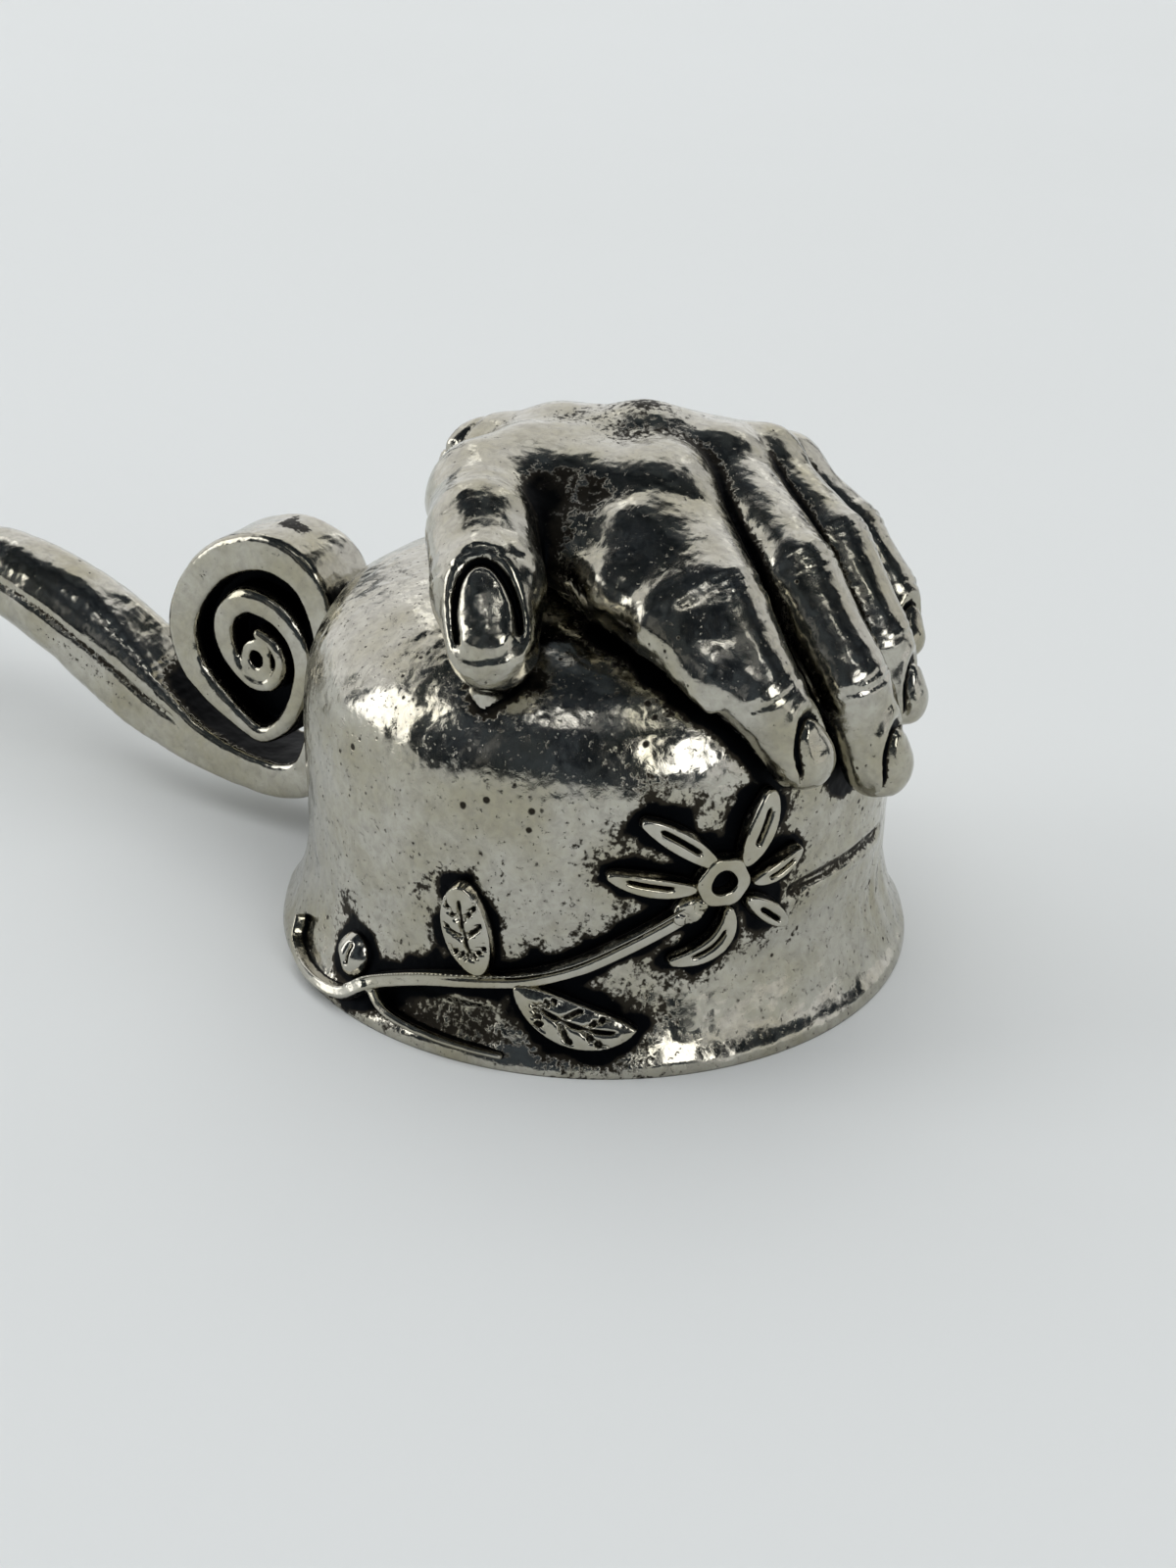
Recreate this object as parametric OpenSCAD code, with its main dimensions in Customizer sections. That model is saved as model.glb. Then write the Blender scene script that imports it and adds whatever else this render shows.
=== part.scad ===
// Bell rattle in cast pewter: an open bell with a clapper hung inside it, a small hand laid
// over the crown, a flower spray on the wall, and a handle that coils into a scroll.
// The origin is the centre of the rim, on the table. The handle runs towards -X.

/* [Bell] */
// Radius of the rim, where the bell stands
rim_r = 20; // [19.4:0.1:22]
// Flat width of the rim's lip
lip_w = 0.9; // [0.6:0.1:1.3]
// Radius of the waist above the flare
neck_r = 18.03; // [17.5:0.01:18.6]
// Height of the waist
neck_z = 6.3; // [5:0.1:8]
// Radius of the wall below the shoulder
body_r = 18.13; // [17.8:0.01:19.2]
// Height where the dome starts
shoulder_z = 13.4; // [12:0.1:15]
// Height of the crown above the table
crown_z = 24; // [22:0.1:28]
// Thickness of the wall
wall = 1.5; // [1.1:0.1:1.8]

/* [Flower spray] */
// Direction of the flower from the centre, in degrees from +X
flower_az = -36.6; // [-60:0.1:0]
// Height of the flower on the wall
flower_z = 11.4; // [9:0.1:13]
// Outer radius of the flower's ring
ring_r = 1.6; // [1.2:0.1:1.9]
// Hole radius of the flower's ring
ring_hole_r = 0.6; // [0.4:0.05:0.8]
// Height of the petals off the wall
petal_h = 0.9; // [0.5:0.05:1.2]
// Height of the leaves off the wall
leaf_h = 0.9; // [0.5:0.05:1.2]
// Half width of the stem
stem_w = 0.55; // [0.4:0.05:0.8]
// Radius of the bud at the stem's rim end
bud_r = 1.4; // [1:0.1:1.6]

/* [Hand] */
// Size of the hand against its drawn size
hand_scale = 1; // [0.9:0.01:1.1]
// Radius of the seat that joins the palm to the crown
seat_r = 4; // [3:0.1:5]

/* [Handle] */
// Half width of the handle's strip, across the scroll
strip_w = 2.9; // [2.2:0.1:3.2]
// Half thickness of the strip at the handle's foot
foot_t = 1.3; // [1:0.05:1.5]
// Size of the scroll against its drawn size
scroll_size = 1; // [0.9:0.01:1.06]
// Height of the scroll's eye
scroll_z = 13; // [12.5:0.1:14]
// Half thickness of the web between the turns
web_t = 0.9; // [0.5:0.1:1.5]
// Radius of the thickest part of the rod
rod_r = 3.3; // [2.6:0.1:3.6]
// Height of the rod's crest
crest_z = 12.5; // [11:0.1:15]
// Radius of the scroll at the handle's free end
tail_r = 5; // [4:0.1:6]
// Distance from the crest to the middle of the free end's scroll
tail_run = 24; // [20:0.5:34]

/* [Clapper] */
// Radius of the clapper's ball
ball_r = 4.2; // [3.4:0.1:4.4]
// Height of the ball's centre above the table
ball_z = 5.8; // [5.6:0.1:7]
// Radius of the clapper's rod
shank_r = 0.6; // [0.4:0.05:0.9]
// Radius of the wire in the eyes and the ring
wire_r = 0.45; // [0.3:0.01:0.48]
// Radius of an eye, to the middle of its wire
eye_r = 1.3; // [1.2:0.05:1.6]
// Radius of the ring that joins the eyes, to the middle of its wire
link_r = 2; // [1.9:0.05:2.3]
// Radius of the stud's shaft
stud_r = 0.9; // [0.6:0.05:1.2]
// Radius of the washer under the crown
washer_r = 2.6; // [2:0.1:3.4]
// Thickness of the washer
washer_t = 0.6; // [0.3:0.05:1]

/* [Fits] */
// Depth that a soldered piece goes into the wall
solder = 0.1; // [0.05:0.01:0.2]
// Clearance between wires that hang in each other
wire_gap = 0.06; // [0.04:0.01:0.1]
// Radial clearance round the stud
stud_gap = 0.05; // [0.02:0.01:0.1]
// Length of the stud inside the palm
stud_grip = 2; // [1:0.1:2.4]
// Gap between the foot of the handle and the scroll above it
foot_gap = 1.2; // [0.9:0.1:1.6]

/* [Hidden] */

// The bell's outline: the flare's curve, then the dome as a superellipse
flare_power = 1.65;
dome_rise = 3.2;
dome_round = 2.9;
flare_steps = 7;
waist_steps = 4;
dome_steps = 16;

function smooth(t) = t * t * (3 - 2 * t);
function mix(a, b, t) = a + (b - a) * t;

function dome_radius(z, inset) =
    let (u = min(1, max(0, (z - shoulder_z) / (crown_z - inset - shoulder_z))))
    (body_r - inset) * pow(1 - pow(u, dome_rise), 1 / dome_round);

function bell_radius(z) =
    z < neck_z ? neck_r + (rim_r - neck_r) * pow(1 - max(0, z) / neck_z, flare_power) :
    z < shoulder_z ? mix(neck_r, body_r, smooth((z - neck_z) / (shoulder_z - neck_z))) :
    dome_radius(z, 0);

// The outline of the bell's metal, inset from its outside, from the rim up to the crown
function outline(inset, rim_inset) = concat(
    [for (i = [0:flare_steps - 1])
        let (t = i / flare_steps, z = neck_z * t)
        [bell_radius(z) - mix(rim_inset, inset, t), z]],
    [for (i = [0:waist_steps - 1])
        let (z = mix(neck_z, shoulder_z, i / waist_steps))
        [bell_radius(z) - inset, z]],
    [for (i = [0:dome_steps - 1])
        let (a = 90 * i / dome_steps)
        [(body_r - inset) * pow(cos(a), 2 / dome_round),
         shoulder_z + (crown_z - inset - shoulder_z) * pow(sin(a), 2 / dome_rise)]],
    [[0, crown_z - inset]]);

// A point off the bell's wall: s along the wall from the flower, z up it, h out of it
function wall_slope(z) = (bell_radius(z + 0.05) - bell_radius(z - 0.05)) / 0.1;
function wall_azimuth(s) = flower_az + s / body_r * 180 / PI;
function wall_point(s, z, h) =
    let (n = [1, -wall_slope(z)] / norm([1, wall_slope(z)]),
         r = bell_radius(z) + h * n[0],
         a = wall_azimuth(s))
    [r * cos(a), r * sin(a), z + h * n[1]];

module bell_solid(inset = 0)
    rotate_extrude($fn = 96) polygon(concat([[0, 0]], outline(inset, inset)));

// The faces of a closed tube: rings of n points each, joined in order, with flat ends
function tube_faces(rings, n) = concat(
    [for (i = [0:rings - 2], j = [0:n - 1])
        let (a = i * n + j, b = i * n + (j + 1) % n)
        each [[a, b, b + n], [a, b + n, a + n]]],
    [[for (j = [n - 1:-1:0]) j]],
    [[for (j = [0:n - 1]) (rings - 1) * n + j]]);

// The spray's pieces are low ridges along curves on the wall. Each curve is a quadratic
// through [s, z] points, and each ridge is half an ellipse across.
ridge_steps = 12;
ridge_arc = 8;
ridge_tip = 0.12;

function curve(p, t) = p[0] * pow(1 - t, 2) + p[1] * 2 * t * (1 - t) + p[2] * t * t;
function across(path, i) =
    let (d = path[min(i + 1, len(path) - 1)] - path[max(i - 1, 0)])
    [-d[1], d[0]] / norm(d);

module ridge(path, widths, height) {
    rings = len(path);
    points = [for (i = [0:rings - 1], j = [0:ridge_arc])
        let (a = 180 - 180 * j / ridge_arc,
             p = path[i] + across(path, i) * widths[i] * cos(a),
             top = height * pow(widths[i] / max(widths), 0.5))
        wall_point(p[0], p[1], -solder + (top + solder) * sin(a))];
    polyhedron(points, tube_faces(rings, ridge_arc + 1), convexity = 4);
}

function curve_path(p) = [for (i = [0:ridge_steps]) curve(p, i / ridge_steps)];
function leaf_widths(w, power) =
    [for (i = [0:ridge_steps])
        max(ridge_tip, w * pow(sin(180 * pow(i / ridge_steps, power)), 0.75))];

// Petals, from the flower's centre: [start, bend, tip, half width]
flower = [0, flower_z];
petals = [
    [[-0.8, 1.45], [-2.6, 3.2], [-4.7, 4.3], 0.8],
    [[1.1, 1.4], [1.9, 3.2], [2.5, 5.0], 1.0],
    [[1.8, -0.1], [3.2, 0.2], [4.6, 1.1], 0.7],
    [[1.5, -1.3], [2.8, -2.3], [3.9, -3.4], 0.75],
    [[0.2, -1.7], [0.3, -4.2], [-2.9, -4.5], 0.8],
    [[-2.0, 0.1], [-4.2, 0.4], [-6.5, 1.15], 0.75]];

// The stem's points, from the flower down to the rim and along it
stem_points = [[-1.7, 10.3], [-3.6, 9.2], [-5.7, 8.0], [-8.2, 6.6], [-11, 5.5], [-13, 5.05],
               [-17.1, 4.1], [-20.5, 2.7], [-22.1, 1.5], [-24.6, 0.9], [-26.8, 0.95], [-28.6, 1.4],
               [-29.3, 2.5]];
stem_steps = 3;
calyx_points = [[-1.3, 10.6], [-2.1, 10.15], [-3.0, 9.6]];
calyx_w = 0.85;
upper_leaf = [[-13.7, 5.5], [-15.2, 8.2], [-14.8, 10.9]];
upper_leaf_w = 1.5;
lower_leaf = [[-11.6, 5.0], [-8.5, 2.2], [-5.0, 2.8]];
lower_leaf_w = 1.35;
bud_place = [-22.9, 3.35];

// A smooth run through every point of a list, past its ends by reflection
function node_at(p, i) =
    i < 0 ? 2 * p[0] - p[1] : i >= len(p) ? 2 * p[len(p) - 1] - p[len(p) - 2] : p[i];
function blend(a, b, c, d, t) =
    (2 * b + (c - a) * t + (2 * a - 5 * b + 4 * c - d) * t * t + (3 * b - a - 3 * c + d) * t * t * t) / 2;
function run_through(p, steps) = concat(
    [for (i = [0:len(p) - 2], j = [0:steps - 1])
        blend(node_at(p, i - 1), p[i], p[i + 1], node_at(p, i + 2), j / steps)],
    [p[len(p) - 1]]);

// The hand: knuckle centres [x, y, z] over the crown, with the radius at each
fingers = [
    [[[3.5, 1.1, 4.4], 3.0], [[11.4, -6.8, 1.9], 2.7], [[15.4, -8.8, -1.8], 2.4], [[17.5, -8.2, -5.1], 1.95]],
    [[[5.0, 5.2, 4.8], 2.9], [[13.4, -1.3, 2.2], 2.55], [[18.0, -3.3, -2.3], 2.3], [[19.7, -2.5, -7.2], 2.05]],
    [[[6.0, 8.1, 4.4], 2.7], [[13.1, 4.3, 2.2], 2.3], [[17.3, 1.7, -1.7], 2.1], [[18.8, 1.9, -5.0], 1.75]],
    [[[6.4, 10.9, 3.6], 2.3], [[11.7, 10.1, 1.0], 2.0], [[14.9, 8.8, -1.6], 1.75], [[16.3, 7.6, -3.8], 1.5]],
    [[[-5.2, -4.5, 4.0], 3.4], [[-2.5, -9.5, 4.0], 3.2], [[0.1, -12.8, 2.4], 3.3], [[1.9, -15.1, 0.2], 2.6]]];
palm = [[[-10.1, 1.1, 3.1], 3.3], [[-7.7, 1.7, 3.5], 3.5], [[-4.6, 2.7, 4.0], 3.8], [[0.2, 4.3, 4.7], 3.7]];
seat_centre = [-0.7, 1.4];
// The web from the thumb to the index, and the index's broad side: both ends of each bar
web = [
    [[[-2.6, -3.6, 3.9], 3.2], [[3.4, -1.8, 4.0], 3.2]],
    [[[0.2, -5.4, 3.0], 2.3], [[5.4, -4.6, 3.0], 2.7]],
    [[[5.4, -4.6, 3.0], 2.7], [[10.6, -7.6, 1.2], 2.4]],
    [[[1.4, -6.2, 2.4], 1.8], [[5.6, -8.0, 1.9], 1.8], [[9.2, -9.2, 1.1], 1.7], [[12.8, -10.2, -0.8], 1.5]]];
cuff = 0.8;
hand_span = 18.13;
ball_facets = 20;

// The scroll's strip, from the bell's wall inwards: [x, z, half thickness] from its eye
scroll_strip = [
    [5.5, 0, 0.95], [5, 3.9, 1.1], [3.5, 6.2, 1.3], [0.6, 7, 1.35], [-2.8, 5.9, 1.3], [-5.4, 3.3, 1.25],
    [-6.5, 0.2, 1.2], [-5.6, -2.7, 1.05], [-3, -4.8, 0.8], [-0.2, -6.1, 0.65], [2.1, -4.4, 0.65],
    [3.4, -1.4, 0.75], [3.2, 1.1, 0.85], [1.5, 2.9, 0.9], [-1.1, 3.4, 0.9], [-2.9, 1.7, 0.85],
    [-2.6, -0.6, 0.75], [-1, -2.3, 0.55], [0.7, -2.2, 0.5], [1.7, -0.7, 0.5], [1.2, 0.6, 0.5], [-0.1, 1.2, 0.45]];
scroll_x = -(body_r - solder + scroll_size * (scroll_strip[0][0] + scroll_strip[0][2]));
foot_z = scroll_z + scroll_size * (scroll_strip[9][1] - scroll_strip[9][2]) - foot_gap - foot_t;
crest_x = -50;
tail_t = 1.5;
tail_w = 2.4;
tail_end_t = 0.95;
tail_turns = 1.15;
tail_pitch = 2.9;
tail_x = crest_x - tail_run;
section_sides = 16;
section_power = 0.8;

// A station on the handle: [x, z, half thickness, half width]
function scroll_station(p) = [scroll_x + scroll_size * p[0], scroll_z + scroll_size * p[1],
                              scroll_size * p[2], strip_w];
function tail_station(turn) =
    let (r = tail_r - tail_pitch * turn, a = -90 - 360 * turn)
    [tail_x + r * cos(a), tail_r + tail_t + r * sin(a),
     mix(tail_t, tail_end_t, turn / tail_turns), tail_w];

rod_points = [
    [scroll_x + 4.9, (scroll_z + foot_z) / 2, 1.1, strip_w],
    [scroll_x + 3.4, foot_z + 1, foot_t, strip_w],
    [scroll_x, foot_z, foot_t, strip_w],
    [-30, foot_z + 0.8, 1.6, 2.9],
    [-34.5, foot_z + 2.5, 2.4, 2.9],
    [-38.5, foot_z + 4.7, rod_r - 0.2, 3.1],
    [-43, crest_z - 1.8, rod_r, rod_r],
    [crest_x, crest_z, 2.8, 2.9],
    [crest_x - 6, crest_z - 1.2, 2.5, 2.6],
    [crest_x - 12, crest_z - 4.4, 2.1, 2.4],
    [crest_x - 17, crest_z - 7.8, 1.8, tail_w],
    [tail_x + 3, tail_t + 0.6, tail_t, tail_w]];
tail_points = [for (i = [0:18]) tail_station(tail_turns * i / 18)];
strip_points = [for (i = [len(scroll_strip) - 1:-1:0]) scroll_station(scroll_strip[i])];
handle_stations = concat(run_through(concat(strip_points, rod_points, [tail_points[0]]), 3),
                         [for (i = [1:len(tail_points) - 1]) tail_points[i]]);

// The clapper hangs from the stud's eye by the ring: heights of each wire's middle
wire_step = 2 * wire_r + wire_gap;
stud_eye_z = crown_z - wall - washer_t - wire_r - eye_r;
stud_wire_z = stud_eye_z - eye_r;
link_z = stud_wire_z + wire_step - link_r;
link_wire_z = link_z - link_r;
clapper_eye_z = link_wire_z + wire_step - eye_r;
clapper_wire_z = clapper_eye_z - eye_r;
shank_seat = 2.5;
spot_r = washer_r + 0.4;

pewter = [0.66, 0.66, 0.63];
pale = [0.76, 0.76, 0.73];
shade = [0.52, 0.53, 0.52];
steel = [0.72, 0.74, 0.77];

module torus(r, wire) rotate_extrude($fn = 64) translate([r, 0]) circle(r = wire, $fn = 32);

inner = outline(wall, lip_w);
module bell_shell() color(pewter) difference() {
    rotate_extrude($fn = 96)
        polygon(concat(outline(0, 0), [for (i = [len(inner) - 1:-1:0]) inner[i]]));
    translate([0, 0, crown_z - wall - washer_t]) cylinder(r = spot_r, h = washer_t, $fn = 64);
    translate([0, 0, crown_z - 2 * wall]) cylinder(r = stud_r + stud_gap, h = 3 * wall, $fn = 48);
}

// The fingers keep their reach over the bell when the hand is made slimmer
reach = body_r / hand_span;
module joint_ball(k)
    translate([reach * k[0][0], reach * k[0][1], k[0][2] * (k[0][2] > 0 ? hand_scale : 1)])
        sphere(r = hand_scale * k[1], $fn = ball_facets);

module finger(knuckles)
    for (i = [0:len(knuckles) - 2]) hull() {
        joint_ball(knuckles[i]);
        joint_ball(knuckles[i + 1]);
    }

module hand() color(pale) difference() {
    translate([0, 0, crown_z]) {
        for (f = fingers) finger(f);
        finger(palm);
        for (w = web) finger(w);
        for (f = fingers) hull() {
            joint_ball(palm[2]);
            joint_ball(palm[3]);
            joint_ball(f[0]);
        }
        hull() {
            joint_ball(palm[3]);
            translate([seat_centre[0], seat_centre[1], -2 * solder]) cylinder(r = seat_r, h = 1, $fn = 24);
        }
    }
    bell_solid(solder);
    cylinder(r = stud_r + stud_gap, h = crown_z + stud_grip + stud_gap, $fn = 32);
    translate([palm[0][0][0] * reach - cuff, 0, crown_z + 5]) rotate([0, -90, 0]) cylinder(r = 9, h = 9, $fn = 12);
}

function corner(v, power) = sign(v) * pow(abs(v), power);

function heading(i) =
    let (d = handle_stations[min(i + 1, len(handle_stations) - 1)] - handle_stations[max(i - 1, 0)])
    atan2(d[1], d[0]);
function section_point(i, j) =
    let (s = handle_stations[i],
         a = 360 * j / section_sides,
         t = s[2] * corner(cos(a), section_power))
    [s[0] - t * sin(heading(i)), s[3] * corner(sin(a), section_power), s[1] + t * cos(heading(i))];

module strip() {
    rings = len(handle_stations);
    points = [for (i = [0:rings - 1], j = [0:section_sides - 1]) section_point(i, j)];
    polyhedron(points, tube_faces(rings, section_sides), convexity = 8);
}

module web_wedge(a, b) hull()
    for (p = [a, b, [0, 0]]) translate([scroll_x + scroll_size * p[0], 0, scroll_z + scroll_size * p[1]])
        rotate([90, 0, 0]) cylinder(r = 0.3, h = 2 * web_t, center = true, $fn = 6);

module scroll_handle() color(pewter) difference() {
    union() {
        strip();
        for (i = [1:10]) web_wedge(scroll_strip[i], scroll_strip[i + 1]);
    }
    bell_solid(solder);
}

module stem() color(pale) {
    path = run_through(stem_points, stem_steps);
    taper = [for (i = [0:len(path) - 1]) mix(stem_w, stem_w * 0.75, i / (len(path) - 1))];
    ridge(path, taper, stem_w * 1.5);
}

module calyx() color(pale) {
    path = curve_path(calyx_points);
    ridge(path, leaf_widths(calyx_w, 1), stem_w * 1.5 + 0.15);
}

module leaf(points, w) color(pale) ridge(curve_path(points), leaf_widths(w, 0.9), leaf_h);

module petal(i) color(pale)
    ridge(curve_path([for (k = [0:2]) flower + petals[i][k]]), leaf_widths(petals[i][3], 1), petal_h);

module flower_ring() color(pale) difference() {
    translate(wall_point(0, flower_z, 0)) rotate([0, 90, flower_az])
        torus((ring_r + ring_hole_r) / 2, (ring_r - ring_hole_r) / 2);
    bell_solid(solder);
}

module stem_bud() color(pale) difference() {
    translate(wall_point(bud_place[0], bud_place[1], -bud_r * 0.25)) sphere(r = bud_r, $fn = 48);
    bell_solid(solder);
}

module eye_stud() color(steel) {
    translate([0, 0, stud_eye_z]) rotate([90, 0, 0]) torus(eye_r, wire_r);
    translate([0, 0, stud_eye_z + eye_r])
        cylinder(r = stud_r, h = crown_z + stud_grip - stud_eye_z - eye_r, $fn = 48);
}

module crown_washer() color(steel) translate([0, 0, crown_z - wall - washer_t]) difference() {
    cylinder(r = washer_r, h = washer_t, $fn = 64);
    translate([0, 0, -washer_t]) cylinder(r = stud_r + stud_gap, h = 3 * washer_t, $fn = 48);
}

module jump_ring() color(steel) translate([0, 0, link_z]) rotate([0, 90, 0]) torus(link_r, wire_r);

module clapper_rod() color(steel) {
    translate([0, 0, clapper_eye_z]) rotate([90, 0, 0]) torus(eye_r, wire_r);
    translate([0, 0, ball_z + ball_r - shank_seat])
        cylinder(r = shank_r, h = clapper_wire_z - ball_z - ball_r + shank_seat, $fn = 48);
}

module clapper_ball() color(shade) difference() {
    translate([0, 0, ball_z]) sphere(r = ball_r, $fn = 96);
    translate([0, 0, ball_z + ball_r - shank_seat]) cylinder(r = shank_r, h = 2 * shank_seat, $fn = 48);
}

bell_shell();
hand();
scroll_handle();
stem();
calyx();
leaf(upper_leaf, upper_leaf_w);  // leaf_upper
leaf(lower_leaf, lower_leaf_w);  // leaf_lower
petal(0);  // petal_1
petal(1);  // petal_2
petal(2);  // petal_3
petal(3);  // petal_4
petal(4);  // petal_5
petal(5);  // petal_6
flower_ring();
stem_bud();
eye_stud();
crown_washer();
jump_ring();
clapper_rod();
clapper_ball();
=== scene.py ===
import math
import bpy
import numpy as np
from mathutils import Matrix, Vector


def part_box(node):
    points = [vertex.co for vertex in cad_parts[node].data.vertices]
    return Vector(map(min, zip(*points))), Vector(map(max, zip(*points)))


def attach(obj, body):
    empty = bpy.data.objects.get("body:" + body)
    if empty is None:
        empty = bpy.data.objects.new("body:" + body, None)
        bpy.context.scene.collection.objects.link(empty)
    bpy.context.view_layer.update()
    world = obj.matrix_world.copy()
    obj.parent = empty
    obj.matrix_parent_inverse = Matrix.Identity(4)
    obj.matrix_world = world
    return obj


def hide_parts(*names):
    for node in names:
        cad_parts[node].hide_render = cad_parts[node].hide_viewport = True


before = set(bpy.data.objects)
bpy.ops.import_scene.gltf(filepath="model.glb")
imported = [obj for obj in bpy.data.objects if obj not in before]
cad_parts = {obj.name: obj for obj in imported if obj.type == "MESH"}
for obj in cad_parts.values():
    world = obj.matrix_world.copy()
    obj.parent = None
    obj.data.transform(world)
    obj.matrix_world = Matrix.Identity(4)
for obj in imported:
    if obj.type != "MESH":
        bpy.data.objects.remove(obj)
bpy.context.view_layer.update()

import openvdb
from mathutils import Matrix, Vector

# Bell rattle in antiqued cast pewter. Lengths are millimetres until a mesh is made.
mm = 0.001


def boxOf(node):
    lo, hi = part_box(node)
    return np.array(lo) / mm, np.array(hi) / mm


# shared shape helpers

def smooth(t):
    t = np.clip(t, 0, 1)
    return t * t * (3 - 2 * t)


def mix(a, b, t):
    return a + (b - a) * t


def unit(v):
    return v / np.linalg.norm(v)


def latticeNoise(points, size, seed):
    # smooth value noise, -1 to 1, with lumps about size mm across
    table = np.random.default_rng(seed).uniform(-1, 1, 4096)
    q = points / size
    cell = np.floor(q).astype(np.int64)
    f = smooth(q - cell)
    total = np.zeros(len(points))
    for corner in np.ndindex(2, 2, 2):
        c = cell + np.array(corner)
        pick = table[(c[:, 0] * 73856093 ^ c[:, 1] * 19349663 ^ c[:, 2] * 83492791) & 4095]
        weight = np.prod(np.where(np.array(corner), f, 1 - f), axis=1)
        total += pick * weight
    return total


def runThrough(points, steps):
    # a smooth run through every row of a list, straight on past its ends
    p = np.array(points, float)
    p = np.vstack([2 * p[0] - p[1], p, 2 * p[-1] - p[-2]])
    out = []
    for i in range(1, len(p) - 2):
        a, b, c, d = p[i - 1:i + 3]
        for t in np.arange(steps) / steps:
            out.append((2 * b + (c - a) * t + (2 * a - 5 * b + 4 * c - d) * t ** 2
                        + (3 * b - a - 3 * c + d) * t ** 3) / 2)
    return np.array(out + [p[-2]])


def peak(distance, width):
    # 1 at nought, falling away smoothly over width
    return np.exp(-(distance / width) ** 2)


def linked(name, data):
    thing = bpy.data.objects.new(name, data)
    bpy.context.scene.collection.objects.link(thing)
    return thing


def plainMesh(name, points, faces, material):
    mesh = bpy.data.meshes.new(name)
    mesh.from_pydata((np.asarray(points) * mm).tolist(), [], [list(map(int, f)) for f in faces])
    mesh.update()
    mesh.polygons.foreach_set("use_smooth", [True] * len(mesh.polygons))
    mesh.materials.append(material)
    return linked(name, mesh)


def meshPoints(piece):
    co = np.zeros(len(piece.data.vertices) * 3)
    piece.data.vertices.foreach_get("co", co)
    return co.reshape(-1, 3) / mm


def meshNormals(piece):
    n = np.zeros(len(piece.data.vertices) * 3)
    piece.data.vertices.foreach_get("normal", n)
    return n.reshape(-1, 3)


def movePoints(piece, points):
    piece.data.vertices.foreach_set("co", (points * mm).ravel())
    piece.data.update()


def paint(piece, name, values):
    # one number for each point, which the material reads
    layer = piece.data.attributes.new(name, "FLOAT", "POINT")
    layer.data.foreach_set("value", np.clip(values, 0, 1).astype(np.float32))


def place(piece, body, slot, *nodes):
    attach(piece, body)
    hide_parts(*nodes)


# the bell's outline, which most of the pieces follow

bell = {
    "rimR": boxOf("bell_shell")[1][0],
    "crownZ": boxOf("bell_shell")[1][2],
    "neckR": 18.03,
    "neckZ": 6.3,
    "bodyR": 18.13,
    "shoulderZ": 13.4,
    "wall": 1.5,
    "lip": 0.9,
    "flarePower": 1.65,
    "domeRise": 3.2,
    "domeRound": 2.9,
    "stepsRound": 380,
    "wobble": 0.11,
    "wobbleSize": 7.0,
    "bead": 0.16,  # how far the rim's thin band stands out
    "hammer": (0.07, 0.035),  # depth of the broad dents and of the fine ones
    "drips": 0.1,
    "crack": [(4.9, 9.5), (8.6, 10.1), (14.5, 9.4)],  # where the wall folded in the mould
    "crackDepth": 0.2,
    "shadeAbove": 14,  # heights where the painted shade under the hand, and the patina with painted shade round the handle's join, can lie
    "joinZ": (4, 19),
    "pressedIn": 0.4,  # depth of the hollow between the stem and the rim
    "tableStep": 0.1,
    "tableR": 26,
    "tableZ": (-1, 38),
    "seed": 11,
}


def bellRadius(z):
    b = bell
    z = np.asarray(z, float)
    below = 1 - np.clip(z, 0, b["neckZ"]) / b["neckZ"]
    flare = mix(b["neckR"], b["rimR"], below ** b["flarePower"])
    waist = mix(b["neckR"], b["bodyR"], smooth((z - b["neckZ"]) / (b["shoulderZ"] - b["neckZ"])))
    u = np.clip((z - b["shoulderZ"]) / (b["crownZ"] - b["shoulderZ"]), 0, 1)
    dome = b["bodyR"] * (1 - u ** b["domeRise"]) ** (1 / b["domeRound"])
    return np.where(z < b["neckZ"], flare, np.where(z < b["shoulderZ"], waist, dome))


def domeOutline(inset, count):
    a = np.linspace(0, math.pi / 2, count)
    r = (bell["bodyR"] - inset) * np.cos(a) ** (2 / bell["domeRound"])
    z = bell["shoulderZ"] + (bell["crownZ"] - inset - bell["shoulderZ"]) * np.sin(a) ** (2 / bell["domeRise"])
    r[-1] = 0
    return np.stack([r, z], 1)


def evenRun(line, count):
    # the same line with its points evenly spaced
    step = np.r_[0, np.cumsum(np.linalg.norm(np.diff(line, axis=0), axis=1))]
    want = np.linspace(0, step[-1], count)
    return np.stack([np.interp(want, step, line[:, i]) for i in range(line.shape[1])], 1)


def wallOutline(inset, rimInset, count):
    z = np.linspace(0, bell["shoulderZ"], 200)
    r = bellRadius(z) - mix(rimInset, inset, np.clip(z / bell["neckZ"], 0, 1))
    line = np.vstack([np.stack([r, z], 1), domeOutline(inset, 200)[1:]])
    return evenRun(line, count)


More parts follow.
